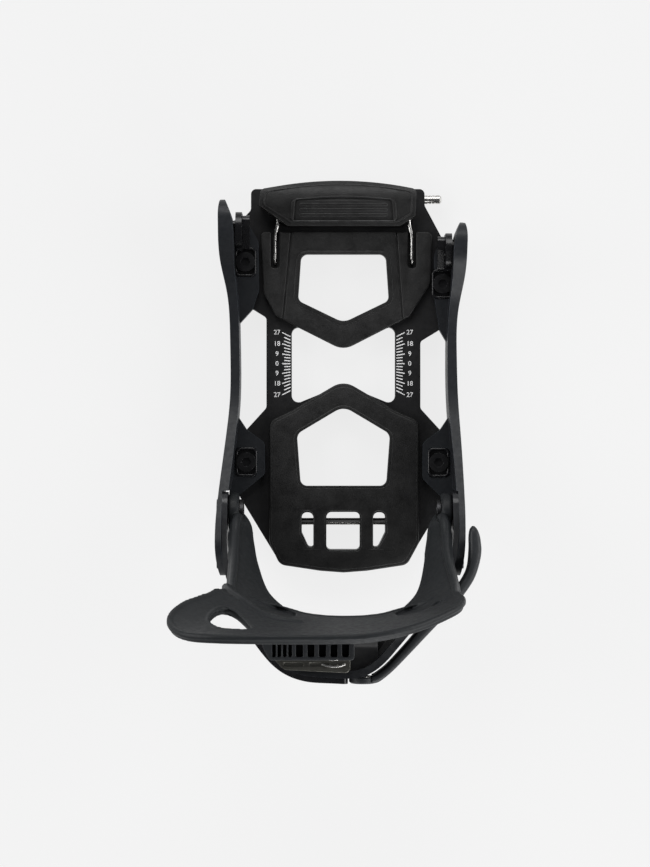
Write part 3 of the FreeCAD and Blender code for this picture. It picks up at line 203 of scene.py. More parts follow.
MATERIALS = {
    "chassis_nylon": moulded("chassis_nylon", (0.0075, 0.0075, 0.008), 0.46, wear_and_highlight=5.5),
    "rail_nylon": moulded("rail_nylon", (0.0085, 0.0098, 0.012), 0.46, depth=0.03, mottle=0.12, wear_and_highlight=6.0),
    "base_foam": moulded("base_foam", (0.02, 0.02, 0.021), 0.85, grain=0.9, depth=0.12),
    "footbed_rubber": moulded("footbed_rubber", (0.0095, 0.0095, 0.0095), 0.46, swell=0.3, grain=0.7,
                              depth=0.14, mottle=0.5, wear_and_highlight=8.0),
    "bright_steel": metal("bright_steel", (0.62, 0.61, 0.59), 0.26),
    "dark_steel": metal("dark_steel", (0.045, 0.045, 0.047), 0.36, wear_and_highlight=2.0),
    "foot_steel": metal("foot_steel", (0.15, 0.147, 0.13), 0.33, wear_and_highlight=2.0),
    "gloss_black": moulded("gloss_black", (0.006, 0.006, 0.007), 0.27, grain=2.0, depth=0.02,
                           mottle=0.15, wear_and_highlight=1.6, coat=0.15),
    "hoop_metal": coated_metal("hoop_metal", (0.009, 0.0098, 0.0115), 0.36),
    "highback_nylon": moulded("highback_nylon", (0.0115, 0.013, 0.0144), 0.48, depth=0.025, mottle=0.08,
                              wear_and_highlight=1.9, shine=0.22),
    "lever_nylon": moulded("lever_nylon", (0.015, 0.0165, 0.0185), 0.46, depth=0.025, mottle=0.08, wear_and_highlight=2.0),
    "bushing_plastic": moulded("bushing_plastic", (0.6, 0.59, 0.55), 0.35, depth=0.01, mottle=0.05,
                               wear_and_highlight=1.1),
    "scale_paint": paint("scale_paint", (0.9, 0.9, 0.9)),
}
SLOT_OF_NODE = {part["node"]: part["material_slot"] for part in frame["record"]["subparts"]}

# ---------------------------------------------------------------- mesh building


def linked(name, data):
    """An object of a mesh, curve or text, in the scene."""
    holder = bpy.data.objects.new(name, data)
    collection.objects.link(holder)
    return holder


def evaluated(holder):
    """A mesh of what an object comes to with its modifiers."""
    bpy.context.view_layer.update()
    return bpy.data.meshes.new_from_object(holder.evaluated_get(bpy.context.evaluated_depsgraph_get()))


def in_metres(name, work):
    """A mesh in metres from a bmesh in millimetres, which is used up."""
    bmesh.ops.recalc_face_normals(work, faces=work.faces)
    bmesh.ops.scale(work, vec=(MM, MM, MM), verts=work.verts)
    mesh = bpy.data.meshes.new(name)
    work.to_mesh(mesh)
    work.free()
    return mesh


def rounded(corners, step=7.0):
    """Points of the closed outline through corners (x, y, corner radius)."""
    points = []
    count = len(corners)
    for i, (x, y, radius) in enumerate(corners):
        here = Vector((x, y))
        if radius <= 0:
            points.append(here)
            continue
        before = (Vector(corners[i - 1][:2]) - here).normalized()
        after = (Vector(corners[(i + 1) % count][:2]) - here).normalized()
        half = before.angle(after) / 2
        start = here + before * (radius / math.tan(half))
        end = here + after * (radius / math.tan(half))
        centre = here + (before + after).normalized() * (radius / math.sin(half))
        turn = (start - centre).angle_signed(end - centre)
        pieces = max(2, round(abs(math.degrees(turn)) / step))
        for k in range(pieces + 1):
            angle = -turn * k / pieces
            arm = start - centre
            points.append(centre + Vector((arm.x * math.cos(angle) - arm.y * math.sin(angle),
                                           arm.x * math.sin(angle) + arm.y * math.cos(angle))))
    return points


def grown(corners, amount):
    """An outline's corners moved away from its middle by about the amount."""
    middle = Vector((sum(c[0] for c in corners), sum(c[1] for c in corners))) / len(corners)
    moved = []
    for x, y, radius in corners:
        away = (Vector((x, y)) - middle).normalized() * (amount * 1.35)
        moved.append((x + away.x, y + away.y, max(0.3, radius + amount)))
    return moved


def flat_mesh(name, loops, bottom, top, rim):
    """A plate between two levels with rounded rims round its outline and its holes."""
    curve = bpy.data.curves.new(name, "CURVE")
    curve.dimensions = "2D"
    curve.fill_mode = "BOTH"
    for loop in loops:
        spline = curve.splines.new("POLY")
        spline.points.add(len(loop) - 1)
        for point, (x, y) in zip(spline.points, loop):
            point.co = (x, y, 0, 1)
        spline.use_cyclic_u = True
    curve.extrude = (top - bottom) / 2 - rim
    curve.bevel_depth = rim
    curve.bevel_resolution = 3
    curve.offset = -rim
    holder = linked(name, curve)
    mesh = evaluated(holder)
    bpy.data.objects.remove(holder)
    bpy.data.curves.remove(curve)
    work = bmesh.new()
    work.from_mesh(mesh)
    bmesh.ops.remove_doubles(work, verts=work.verts, dist=0.002)
    bmesh.ops.translate(work, verts=work.verts, vec=(0, 0, (top + bottom) / 2))
    bpy.data.meshes.remove(mesh)
    return work


def finish_piece(name, work, body, slot, material=None, stands_for=(), sharp=38.0):
    """An object from a bmesh in millimetres, riding a body and made of a slot's material."""
    return finish_mesh(name, in_metres(name, work), body, slot, material, stands_for, sharp)


def finish_mesh(name, mesh, body, slot, material=None, stands_for=(), sharp=38.0):
    """An object from a mesh in metres, riding a body and made of a slot's material."""
    mesh.shade_smooth()
    mesh.set_sharp_from_angle(angle=math.radians(sharp))
    mesh.materials.clear()
    mesh.materials.append(MATERIALS[material or slot])
    piece = linked(name, mesh)
    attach(piece, body)
    if stands_for:
        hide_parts(*stands_for)
    return piece


def join(parts):
    """One bmesh of several."""
    whole = bmesh.new()
    for part in parts:
        mesh = bpy.data.meshes.new("part")
        part.to_mesh(mesh)
        part.free()
        whole.from_mesh(mesh)
        bpy.data.meshes.remove(mesh)
    return whole


def block(low, high, rim):
    """A box between two corners with rounded edges."""
    work = bmesh.new()
    bmesh.ops.create_cube(work, size=1.0)
    size = Vector(high) - Vector(low)
    for vert in work.verts:
        vert.co = Vector(low) + Vector((size.x * (vert.co.x + 0.5), size.y * (vert.co.y + 0.5),
                                        size.z * (vert.co.z + 0.5)))
    bmesh.ops.bevel(work, geom=work.edges[:], offset=rim, segments=2, affect="EDGES", profile=0.5)
    return work


def blended(name, work, voxel, smooth_steps):
    """A mesh in metres whose overlapping closed parts are melted into one moulded skin."""
    holder = linked(name, in_metres(name, work))
    remesh = holder.modifiers.new("skin", "REMESH")
    remesh.mode = "VOXEL"
    remesh.voxel_size = voxel * MM
    smooth = holder.modifiers.new("soften", "SMOOTH")
    smooth.factor = 0.5
    smooth.iterations = smooth_steps
    skin = evaluated(holder)
    bpy.data.objects.remove(holder)
    return skin


def between(a, b, c, d, t):
    """The Catmull-Rom value at a share t of the way from b to c, for numbers or vectors."""
    return 0.5 * (2 * b + (c - a) * t + (2 * a - 5 * b + 4 * c - d) * t * t
                  + (3 * b - a - 3 * c + d) * t ** 3)


def smooth_stations(stations, steps):
    """A smooth run through a list of tuples of numbers."""
    made = []
    padded = [stations[0]] + list(stations) + [stations[-1]]
    for k in range(len(stations) - 1):
        for j in range(steps):
            made.append(tuple(between(*column, j / steps) for column in zip(*padded[k:k + 4])))
    made.append(stations[-1])
    return made


def smooth_loop(points):
    """A closed curve that runs smoothly through points in a plane."""
    steps = 6
    made = []
    count = len(points)
    for k in range(count):
        around = [Vector(points[(k + j - 1) % count]) for j in range(4)]
        for j in range(steps):
            made.append(between(*around, j / steps))
    return made


def inset(loop, amount):
    """A closed curve moved inwards by an amount."""
    turning = sum(a.cross(b) for a, b in zip(loop, loop[1:] + loop[:1]))
    side = math.copysign(amount, turning)
    moved = []
    for before, here, after in zip(loop[-1:] + loop[:-1], loop, loop[1:] + loop[:1]):
        along = (after - before).normalized()
        moved.append(here + Vector((-along.y, along.x)) * side)
    return moved


def turned(profile, centre):
    """A round bar along X, from (place, radius) pairs, round a centre (y, z)."""
    count = 40
    rings = []
    for x, radius in profile:
        ring = []
        for k in range(count):
            angle = 2 * math.pi * k / count
            ring.append((x, centre[0] + radius * math.cos(angle), centre[1] + radius * math.sin(angle)))
        rings.append(ring)
    return skin_of_rings(rings)


def skin_of_rings(rings):
    """A closed tube through rings with equal numbers of points, capped at both ends."""
    work = bmesh.new()
    made = [[work.verts.new(point) for point in ring] for ring in rings]
    count = len(rings[0])
    for near, far in zip(made, made[1:]):
        for k in range(count):
            work.faces.new((near[k], near[(k + 1) % count], far[(k + 1) % count], far[k]))
    work.faces.new(made[0][::-1])
    work.faces.new(made[-1])
    return work


def revolved(section, place):
    """A closed ring from (radius, depth) pairs, put in place by a function of two offsets and a depth."""
    turns = 48
    work = bmesh.new()
    rings = []
    for k in range(turns):
        angle = 2 * math.pi * k / turns
        rings.append([work.verts.new(place(radius * math.cos(angle), radius * math.sin(angle), depth))
                      for radius, depth in section])
    for near, far in zip(rings, rings[1:] + rings[:1]):
        for j in range(len(section)):
            following = (j + 1) % len(section)
            work.faces.new((near[j], near[following], far[following], far[j]))
    return work


def soft_ring(middle, wide, tall, wide_power, tall_power):
    """Points round a section with two half axes; powers below 1 make it squarer than an ellipse."""
    count = 28
    ring = []
    for k in range(count):
        angle = 2 * math.pi * k / count
        c = math.cos(angle)
        s = math.sin(angle)
        along = math.copysign(abs(c) ** wide_power, c)
        across = math.copysign(abs(s) ** tall_power, s)
        ring.append(middle + wide * along + tall * across)
    return ring


# ---------------------------------------------------------------- carried-over CAD pieces


def dress_cad_nodes():
    """Soft edges, smooth shading and its slot's material on every CAD piece."""
    rims = {"heel_hoop": 0.7, "side_rail_left": 1.3, "side_rail_right": 1.3, "release_lever": 1.5,
            "base_chassis": 0.6, "gas_pedal": 0.9, "latch_housing": 0.5,
            "toe_hook_left": 0.4, "toe_hook_right": 0.4}
    usual_rim = 0.2
    same_place = 1e-6
    flattest_edge = math.radians(35)
    for name, piece in nodes.items():
        mesh = piece.data
        mesh.materials.clear()
        mesh.materials.append(MATERIALS[SLOT_OF_NODE[name]])
        for face in mesh.polygons:
            face.use_smooth = True
        weld = piece.modifiers.new("weld", "WELD")
        weld.merge_threshold = same_place
        bevel = piece.modifiers.new("soft_edges", "BEVEL")
        bevel.width = rims.get(name, usual_rim) * MM
        bevel.segments = 2
        bevel.limit_method = "ANGLE"
        bevel.angle_limit = flattest_edge
        normals = piece.modifiers.new("normals", "WEIGHTED_NORMAL")
        normals.keep_sharp = True


# ---------------------------------------------------------------- camera, floor and light


def make_stage():
    """A view from straight above, a pale floor and soft lights."""
    camera_place = (-10.6 * MM, -40.2 * MM, 1300 * MM)
    below_part = 0.3 * MM
    floor_half = 6.0
    floor_glow = 0.806
    darker = (0.055, 0.055, 0.055, 1)
    lighter = (0.06, 0.06, 0.06, 1)
    camera_data = bpy.data.cameras.new("camera")
    camera_data.sensor_width = 36.0
    camera_data.lens = 93.06
    camera = linked("camera", camera_data)
    camera.location = camera_place
    bpy.context.scene.camera = camera

    s = Shader("floor")
    tone = s.mix(s.ramp(s.noise(400.0, 2.0), 0.3, 0.7), darker, lighter)
    s.put(s.surface, Base_Color=tone, Roughness=0.9, Emission_Color=(1, 1, 1, 1),
          Emission_Strength=floor_glow)
    work = bmesh.new()
    bmesh.ops.create_grid(work, x_segments=1, y_segments=1, size=floor_half)
    mesh = bpy.data.meshes.new("floor")
    work.to_mesh(mesh)
    work.free()
    mesh.materials.append(s.material)
    floor = linked("floor", mesh)
    floor.location.z = -below_part

    # Name, place in metres, size in metres, watts.
    lights = [
        ("left_side", (-1.1, 0.1, 0.75), 0.8, 11.0),
        ("right_side", (1.1, 0.0, 0.6), 0.8, 10.0),
        ("rear", (0.5, -1.2, 0.55), 0.8, 15.0),
        ("front", (-0.1, 1.1, 0.9), 0.9, 11.0),
    ]
    aim = Vector((0, -0.04, 0.05))
    for name, place, size, watts in lights:
        lamp = bpy.data.lights.new(name, "AREA")
        lamp.size = size
        lamp.energy = watts
        holder = linked(name, lamp)
        holder.location = place
        holder.rotation_euler = (aim - Vector(place)).to_track_quat("-Z", "Y").to_euler()

    world = bpy.data.worlds.new("world")
    bpy.context.scene.world = world
    world.use_nodes = True
    background = world.node_tree.nodes["Background"]
    background.inputs["Color"].default_value = (0.95, 0.96, 1.0, 1)
    background.inputs["Strength"].default_value = 0.10
    bpy.context.scene.view_settings.view_transform = "Standard"


# ---------------------------------------------------------------- footbeds

TOE_WINDOW = [(-24.2, 62.6, 4), (24.2, 62.6, 4), (26, 36, 4), (0, 23.4, 9), (-26, 36, 4)]
HEEL_WINDOW = [(-26.7, -40.5, 5), (0, -24.6, 9), (26.7, -40.5, 5), (24.5, -70.2, 4), (-24.5, -70.2, 4)]
REAR_SLOTS = [
    [(-24, -85.4, 3), (-17.3, -85.4, 3), (-17.3, -105.3, 1.3), (-20.2, -105.3, 2), (-24, -97, 2)],
    [(-9.8, -85.2, 3), (9.4, -85.2, 3), (9.4, -107, 2.5), (-9.8, -107, 2.5)],
    [(17, -85.4, 3), (24, -85.4, 3), (24, -97, 2), (20, -105.3, 2), (17, -105.3, 1.3)],
]
FOOTBED_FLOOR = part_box("toe_footbed")[0].z / MM
FOOTBED_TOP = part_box("toe_footbed")[1].z / MM
# How far a raised panel stands over the footbed's top.
PANEL_RISE = 0.35


def lip(window, width, rise):
    """A raised, rounded lip round a window."""
    sunk = 1.2
    rim = 0.32
    return flat_mesh("lip", [rounded(grown(window, width)), rounded(window)],
                     FOOTBED_TOP - sunk, FOOTBED_TOP + rise, rim)


def make_toe_footbed():
    """A base sheet, two outer panels and a raised middle panel, with grooves between them."""
    groove_deep = 0.9
    sunk = 0.8
    panel_rim = 0.45
    sheet_top = FOOTBED_TOP - groove_deep
    front = 75.4
    side_front = front - 0.3
    wire_x = 39.3
    slot_half = 2.5
    slot_end = 54.5
    left_slot = [(-wire_x - slot_half, front, 0.8), (-wire_x - slot_half, slot_end, 2.4),
                 (-wire_x + slot_half, slot_end, 2.4), (-wire_x + slot_half, front, 0.8)]
    right_slot = [(-x, y, r) for x, y, r in reversed(left_slot)]
    base = [(-48, front, 3)] + left_slot + right_slot
    base += [(51, front, 3), (50, 46, 3), (38, 27, 3), (0, 7.6, 12), (-38.6, 27, 3), (-45.8, 39.8, 3)]
    middle = [(-29.4, front, 0.6), (29.8, front, 0.6), (33.2, 24.9, 0.8), (0, 8.1, 12), (-34.1, 25.2, 0.8)]
    left = [(-47.6, side_front, 3)] + left_slot + [(-30.4, side_front, 0.6), (-35.1, 25.9, 0.6),
                                                   (-38.5, 27.6, 3), (-45.4, 40, 3)]
    right = right_slot + [(50.6, side_front, 3), (49.6, 46.1, 3), (37.8, 27.6, 3), (34.2, 25.6, 0.6),
                          (30.8, side_front, 0.6)]
    parts = [flat_mesh("sheet", [rounded(base), rounded(TOE_WINDOW)], FOOTBED_FLOOR, sheet_top, 0.5)]
    parts.append(flat_mesh("middle", [rounded(middle), rounded(grown(TOE_WINDOW, 0.6))],
                           sheet_top - sunk, FOOTBED_TOP + PANEL_RISE, panel_rim))
    for outline in (left, right):
        parts.append(flat_mesh("side", [rounded(outline)], sheet_top - sunk, FOOTBED_TOP, panel_rim))
    parts.append(lip(TOE_WINDOW, 2.2, 0.75))
    finish_piece("toe_footbed_moulding", join(parts), "base", "footbed_rubber",
                 stands_for=["toe_footbed"])


def make_heel_footbed():
    """A grained pad with a rolled edge and lips round the window and the three rear slots."""
    outline = [(-42.5, -33, 6), (-30, -27.2, 4), (0, -9.6, 12), (30, -27.2, 4), (43.3, -33, 6),
               (43.3, -103, 6), (36.5, -115.5, 6), (0, -121, 90), (-36.5, -115.5, 6), (-42.5, -103, 6)]
    loops = [rounded(outline), rounded(HEEL_WINDOW)] + [rounded(slot) for slot in REAR_SLOTS]
    rolled_edge = 0.9
    shrink = 0.965
    shift_back = 2.4
    parts = [flat_mesh("pad", loops, FOOTBED_FLOOR, FOOTBED_TOP, rolled_edge)]
    inner = [(x * shrink, y * shrink - shift_back, r) for x, y, r in outline]
    loops[0] = rounded(inner)
    loops[1] = rounded(grown(HEEL_WINDOW, 0.9))
    parts.append(flat_mesh("field", loops, FOOTBED_TOP - 1, FOOTBED_TOP + PANEL_RISE, 0.3))
    parts.append(lip(HEEL_WINDOW, 1.6, 0.55))
    for slot in REAR_SLOTS:
        parts.append(lip(slot, 1.0, 0.5))
    finish_piece("heel_footbed_moulding", join(parts), "base", "footbed_rubber",
                 stands_for=["heel_footbed"])


# ---------------------------------------------------------------- angle scale


def make_scale():
    """Printed ticks every 3 degrees and a number every 9, on both sides of the hourglass."""
    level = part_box("base_chassis")[1].z / MM
    inner = 30.5
    long_end = 35.3
    short_end = 34.1
    half_width = 0.3
    number_x = 38.2
    number_tall = 3.8
    last_degree = 27
    ticks = []
    for sign in (-1, 1):
        for degrees in range(-last_degree, last_degree + 1, 3):
            slope = math.tan(math.radians(degrees))
            end = long_end if degrees % 9 == 0 else short_end
            along = Vector((end - inner, (end - inner) * slope)).normalized()
            across = Vector((-along.y, along.x)) * half_width
            corners = []
            for x, way in ((inner, -1), (end, -1), (end, 1), (inner, 1)):
                corners.append((sign * (x + way * across.x), x * slope + way * across.y, 0.1))
            ticks.append(flat_mesh("tick", [rounded(corners, 45)], level - 0.02, level + 0.07, 0.02))
    finish_piece("scale_ticks", join(ticks), "base", "chassis_nylon", "scale_paint")

    work = bmesh.new()
    for sign in (-1, 1):
        for degrees in range(-last_degree, last_degree + 1, 9):
            text = bpy.data.curves.new("number", "FONT")
            text.body = str(abs(degrees))
            text.size = number_tall
            text.align_x = "CENTER"
            text.align_y = "CENTER"
            text.extrude = 0.03
            text.offset = 0.03
            holder = linked("number", text)
            letters = evaluated(holder)
            bpy.data.objects.remove(holder)
            place = Vector((sign * number_x, long_end * math.tan(math.radians(degrees)), level + 0.035))
            for vertex in letters.vertices:
                vertex.co += place
            work.from_mesh(letters)
            bpy.data.meshes.remove(letters)
    finish_piece("scale_numbers", work, "base", "chassis_nylon", "scale_paint")


# ---------------------------------------------------------------- gas pedal

PEDAL_PANEL = [(-30, 81, 1.5), (30, 81, 1.5), (29, 93.2, 3), (0, 96, 200), (-29, 93.2, 3)]


def pedal_level(y):
    """The height of the pedal's top, which climbs to a crest, falls gently and drops at the nose."""
    foot_y, foot_level = 70, 19.5
    crest_y, crest_level = 92, 24.2
    nose_y, nose_level = 99, 23.4
    rise = foot_level + (y - foot_y) * 4.7 / (crest_y - foot_y)
    fall = crest_level - (y - crest_y) * 0.8 / (nose_y - crest_y)
    nose = nose_level - (y - nose_y) * 6.4 / 9
    return min(rise, fall, nose)


def onto_pedal(work, drop):
    """A flat mesh laid on the pedal's slope, with its level 0 a drop below the pedal's top."""
    first_cut, cuts = 78, 24
    for k in range(cuts):
        place = Vector((0, first_cut + k, 0))
        bmesh.ops.bisect_plane(work, geom=work.verts[:] + work.edges[:] + work.faces[:],
                               plane_co=place, plane_no=(0, 1, 0))
    for vert in work.verts:
        vert.co.z += pedal_level(vert.co.y) - drop
    return work


def make_pedal_panel():
    """The inset panel with a thin border and three grip bars across it."""
    parts = [onto_pedal(flat_mesh("panel", [rounded(PEDAL_PANEL, 3)], 0, 1.3, 0.3), 2.1)]
    frame_loops = [rounded(grown(PEDAL_PANEL, 0.5), 3), rounded(grown(PEDAL_PANEL, -1.1), 3)]
    parts.append(onto_pedal(flat_mesh("border", frame_loops, 0, 1.5, 0.5), 0.95))
    for y in (84.5, 87.4, 90.3):
        bar = [(-25, y - 0.75, 0.7), (25, y - 0.75, 0.7), (25, y + 0.75, 0.7), (-25, y + 0.75, 0.7)]
        parts.append(onto_pedal(flat_mesh("bar", [rounded(bar, 20)], 0, 0.7, 0.25), 1.15))
    finish_piece("pedal_panel_relief", join(parts), "gas_pedal", "footbed_rubber",
                 stands_for=["pedal_panel"])
    shoulders = [(-47.2, 99.2, 3), (-48.2, 89.9, 2), (-31.8, 78.4, 3), (32.3, 78.4, 3), (40.9, 84, 2),
                 (41.5, 99.2, 3), (0, 107.6, 190)]
    rim = [rounded([(x * 0.955 - 0.1, 79.9 + (y - 78.4) * 0.86, r) for x, y, r in shoulders], 3),
           rounded([(x * 0.93 - 0.1, 80.9 + (y - 78.4) * 0.80, r) for x, y, r in shoulders], 3)]
    finish_piece("pedal_rim_bead", onto_pedal(flat_mesh("rim", rim, 0, 1.0, 0.3), 0.62), "gas_pedal",
                 "footbed_rubber")


# ---------------------------------------------------------------- bolt seats


def make_bolt_seats():
    """Glossy dished seats that fill the square pockets under the four rail bolts."""
    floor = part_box("rail_washers")[0].z / MM
    half_wide, half_long, corner = 6.2, 8.4, 2.9
    hole_r = 3.05
    wall = 1.5
    wall_corner = 1.8
    parts = []
    for x, y in [(-56.2, 58.0), (56.8, 45.5), (-55.7, -56.5), (54.5, -56.8)]:
        square = [(x - half_wide, y - half_long, corner), (x + half_wide, y - half_long, corner),
                  (x + half_wide, y + half_long, corner), (x - half_wide, y + half_long, corner)]
        hole = [(x + hole_r * math.cos(math.radians(angle)), y + hole_r * math.sin(math.radians(angle)))
                for angle in range(0, 360, 15)]
        parts.append(flat_mesh("seat", [rounded(square), hole], floor, floor + 1.5, 0.3))
        inner = [(cx - math.copysign(wall, cx - x), cy - math.copysign(wall, cy - y), wall_corner)
                 for cx, cy, _ in square]
        parts.append(flat_mesh("wall", [rounded(square), rounded(inner)], floor + 0.6, floor + 4.0, 0.6))
    finish_piece("rail_bolt_seats", join(parts), "base", "gloss_black", stands_for=["rail_washers"])


# ---------------------------------------------------------------- highback


PLATE_FOOT_Y = -136.2
PLATE_FOOT_Z = 96
PLATE_TALL = 110
PLATE_LEAN = 3.6
WING_DEPTH = 14.0
WING_REACH = 62
# The left wing loses its curve over this height, up to this level.
WING_FADE_TALL = 56
WING_FADE_TOP = 192
PIVOT_Y = -84
PIVOT_Z = 45


def back_face(x, z):
    """The inner face of the highback's plate, as a place along the foot."""
    middle = PLATE_FOOT_Y - PLATE_LEAN * (z - PLATE_FOOT_Z) / PLATE_TALL
    fade = max(0.0, min(1.0, (WING_FADE_TOP - z) / WING_FADE_TALL))
    wing = WING_DEPTH * fade ** 1.5 if x < 0 else WING_DEPTH
    return middle + wing * (abs(x) / WING_REACH) ** 2


# Each arm station: lower inner edge, upper outer edge, and the way through the wall.
ARM_STATIONS = [
    (59.6, -82, 38, 60.8, -87, 54, 3.4, -0.4, -0.4),
    (52.6, -90, 45, 61.6, -89, 60, 2.7, -1.8, -1.6),
    (50.6, -100, 51, 62.0, -97, 67, 2.6, -2.3, -1.6),
    (47.8, -112, 64, 61.6, -109, 84, 2.4, -2.7, -1.2),
    (41.0, -126.5, 84, 62.0, -120.5, 106, 2.0, -3.2, -1.0),
    (27.0, -137.6, 106.5, 60.0, -128.4, 128, 0.8, -2.2, -0.4),
]


def arm_skin(sign, shift):
    """One curved arm with a softly rounded section."""
    long_squareness = 0.35
    thick_squareness = 0.55
    rings = []
    stations = smooth_stations(ARM_STATIONS, 8)
    for k, station in enumerate(stations):
        progress = k / (len(stations) - 1)
        narrowing = shift * min(1.0, 2 - 2 * progress)
        low, high, through = (Vector(station[i:i + 3]) for i in (0, 3, 6))
        middle = (low + high + through) / 2 + Vector((narrowing, 0, 0))
        ring = soft_ring(middle, (high - low) / 2, through / 2, long_squareness, thick_squareness)
        rings.append([(sign * point.x, point.y, point.z) for point in ring])
    return skin_of_rings(rings)


def tube(path, radii):
    """A round bar along a path of points, with a radius at each and no twist."""
    count = 14
    rings = []
    across = None
    for k, point in enumerate(path):
        along = (path[min(k + 1, len(path) - 1)] - path[max(k - 1, 0)]).normalized()
        if across is None:
            across = along.orthogonal().normalized()
        else:
            across = (across - along * across.dot(along)).normalized()
        over = along.cross(across)
        ring = []
        for j in range(count):
            angle = 2 * math.pi * j / count
            ring.append(point + (across * math.cos(angle) + over * math.sin(angle)) * radii[k])
        rings.append(ring)
    return skin_of_rings(rings)


def arm_ridges(sign, shift):
    """The rounded ridge along an arm's upper edge and the thin lip along its inner edge."""
    ridge_inwards = 2.2
    ridge_start, ridge_loss = 3.1, 1.3
    lip_r = 1.9
    stations = smooth_stations(ARM_STATIONS, 6)
    ridge = []
    lip_line = []
    for k, station in enumerate(stations):
        narrowing = shift * min(1.0, 2 - 2 * k / (len(stations) - 1))
        low, high, through = (Vector(station[i:i + 3]) for i in (0, 3, 6))
        for line, point in ((ridge, high - Vector((ridge_inwards, 0, 0))), (lip_line, low + through / 2)):
            line.append(Vector((sign * (point.x + narrowing), point.y, point.z)))
    last = len(stations) - 1
    swell = [ridge_start - ridge_loss * k / last for k in range(last + 1)]
    return [tube(ridge, swell), tube(lip_line, [lip_r] * (last + 1))]


def wing_ridge():
    """The bead on the left wing from its lower edge up to the middle, beside the window."""
    bead_start, bead_loss = 2.6, 1.9
    proud = 0.5
    stations = smooth_stations([(-63, 112), (-60, 124), (-52, 137), (-43, 147), (-33, 152), (-22, 152)], 6)
    path = [Vector((x, back_face(x, z) + proud, z)) for x, z in stations]
    last = len(path) - 1
    return tube(path, [bead_start - bead_loss * k / last for k in range(last + 1)])


def ear_skin(sign, outer_x, thick):
    """A round ear with rounded edges and a bore for its bushing."""
    section = [(5.3, 0.3), (5.6, 0), (9.6, 0), (10.5, 0.9), (10.5, thick - 0.9), (9.6, thick),
               (5.6, thick), (5.3, thick - 0.3)]
    return revolved(section, lambda y, z, depth: (sign * (outer_x - depth), PIVOT_Y + y, PIVOT_Z + z))


def bent_plate(loops, thick, rim, proud=0.0):
    """A plate with the highback's curve, from outlines in (x, height)."""
    pitch = 3
    work = flat_mesh("plate", loops, 0, thick, rim)
    for axis, low, high in ((0, -92, 64), (1, 98, 204)):
        normal = Vector((0, 0, 0))
        normal[axis] = 1
        place = low
        while place < high:
            bmesh.ops.bisect_plane(work, geom=work.verts[:] + work.edges[:] + work.faces[:],
                                   plane_co=normal * place, plane_no=normal)
            place += pitch
    for vert in work.verts:
        x, z, depth = vert.co
        vert.co = (x, back_face(x, z) + proud - depth, z)
    return work


BACK_OUTLINE = [
    (-62, 105), (-50, 103.5), (-36, 104.5), (-27, 109), (-19, 115.5), (0, 116), (18, 115.5), (26, 109),
    (36, 104.5), (48, 103.5), (58, 105), (60.4, 118), (61.2, 134), (61.5, 150), (60.8, 163),
    (58, 171.5), (50.5, 178.5), (41.6, 185), (27.5, 192.6), (12, 197.4), (-4, 199.6), (-22, 200.3),
    (-40, 200.2), (-54, 199.2), (-67, 196.6), (-78, 191.6), (-86, 184.5), (-90, 176), (-89.2, 167.5),
    (-83.5, 157.5), (-76, 148.5), (-70, 140), (-66, 129), (-64, 116),
]
LEFT_WINDOW = [(-70.6, 168), (-69, 160), (-65, 152), (-60, 149.5), (-55, 152.5), (-50.5, 161),
               (-47.5, 170), (-46, 177), (-49, 181.4), (-56, 182.3), (-64, 180.2), (-69.2, 174)]
RIGHT_WINDOW = [(34.5, 133), (41, 122), (47.6, 112.6), (51.6, 113.6), (50.6, 119), (45, 129), (39.6, 137)]
# Hollows in the inner face, where the arms run into the plate from behind.
LEFT_HOLLOW = [(-58, 106), (-57, 119), (-50, 131), (-42, 140.5), (-33, 145), (-27, 136), (-26.5, 118),
               (-34, 106), (-46, 104)]
RIGHT_HOLLOW = [(56, 106), (56, 118), (50, 126), (44, 136), (35, 141), (28, 134), (27, 118), (34, 106),
                (46, 104)]


def prism(loop, front, rear):
    """A closed prism along Y through an outline in (x, height)."""
    return skin_of_rings([[(x, y, z) for x, z in loop] for y in (front, rear)])


def cut_from(skin, cutters):
    """A mesh in metres less some bmeshes in millimetres."""
    whole = linked("skin", skin)
    tools = linked("cutters", in_metres("cutters", join(cutters)))
    difference = whole.modifiers.new("openings", "BOOLEAN")
    difference.operation = "DIFFERENCE"
    difference.solver = "MANIFOLD"
    difference.object = tools
    made = evaluated(whole)
    for holder in (whole, tools):
        bpy.data.objects.remove(holder)
    return made


def make_highback():
    """The asymmetric shell, melted from its plate, rim, arms, ears and rear boss into one moulding."""
    outline = smooth_loop(BACK_OUTLINE)
    windows = [smooth_loop(LEFT_WINDOW), smooth_loop(RIGHT_WINDOW)]
    hollows = [smooth_loop(LEFT_HOLLOW), smooth_loop(RIGHT_HOLLOW)]
    grown_window = inset(windows[0], -1.3)
    plate_thick = 2.4
    plate_rim = 0.5
    ear_thick = 6
    voxel = 0.62
    smooth_steps = 4
    parts = [bent_plate([outline, windows[0]] + hollows, plate_thick, plate_rim)]
    parts.append(bent_plate([inset(outline, 1.3), grown_window], 2.2, 1.0, proud=-2.2))
    parts.append(bent_plate([inset(outline, 0.2), inset(outline, 2.6)], 1.2, 0.4, proud=0.55))
    parts.append(bent_plate([inset(windows[0], -1.8), inset(windows[0], -0.2)], 1.2, 0.4, proud=0.45))
    for sign, shift, ear_face in ((-1, 0.0, 64.5), (1, -4.3, 60.2)):
        parts.append(arm_skin(sign, shift))
        parts += arm_ridges(sign, shift)
        parts.append(ear_skin(sign, ear_face, ear_thick))
    parts.append(wing_ridge())
    parts.append(block((-34, -145, 108), (-5, -138.5, 150), 1.2))
    skin = blended("highback_shell", join(parts), voxel, smooth_steps)
    skin = cut_from(skin, [prism(windows[1], -100, -160)])
    finish_mesh("highback_shell", skin, "highback", "highback_nylon", stands_for=["highback"],
                sharp=60)


# ---------------------------------------------------------------- release lever

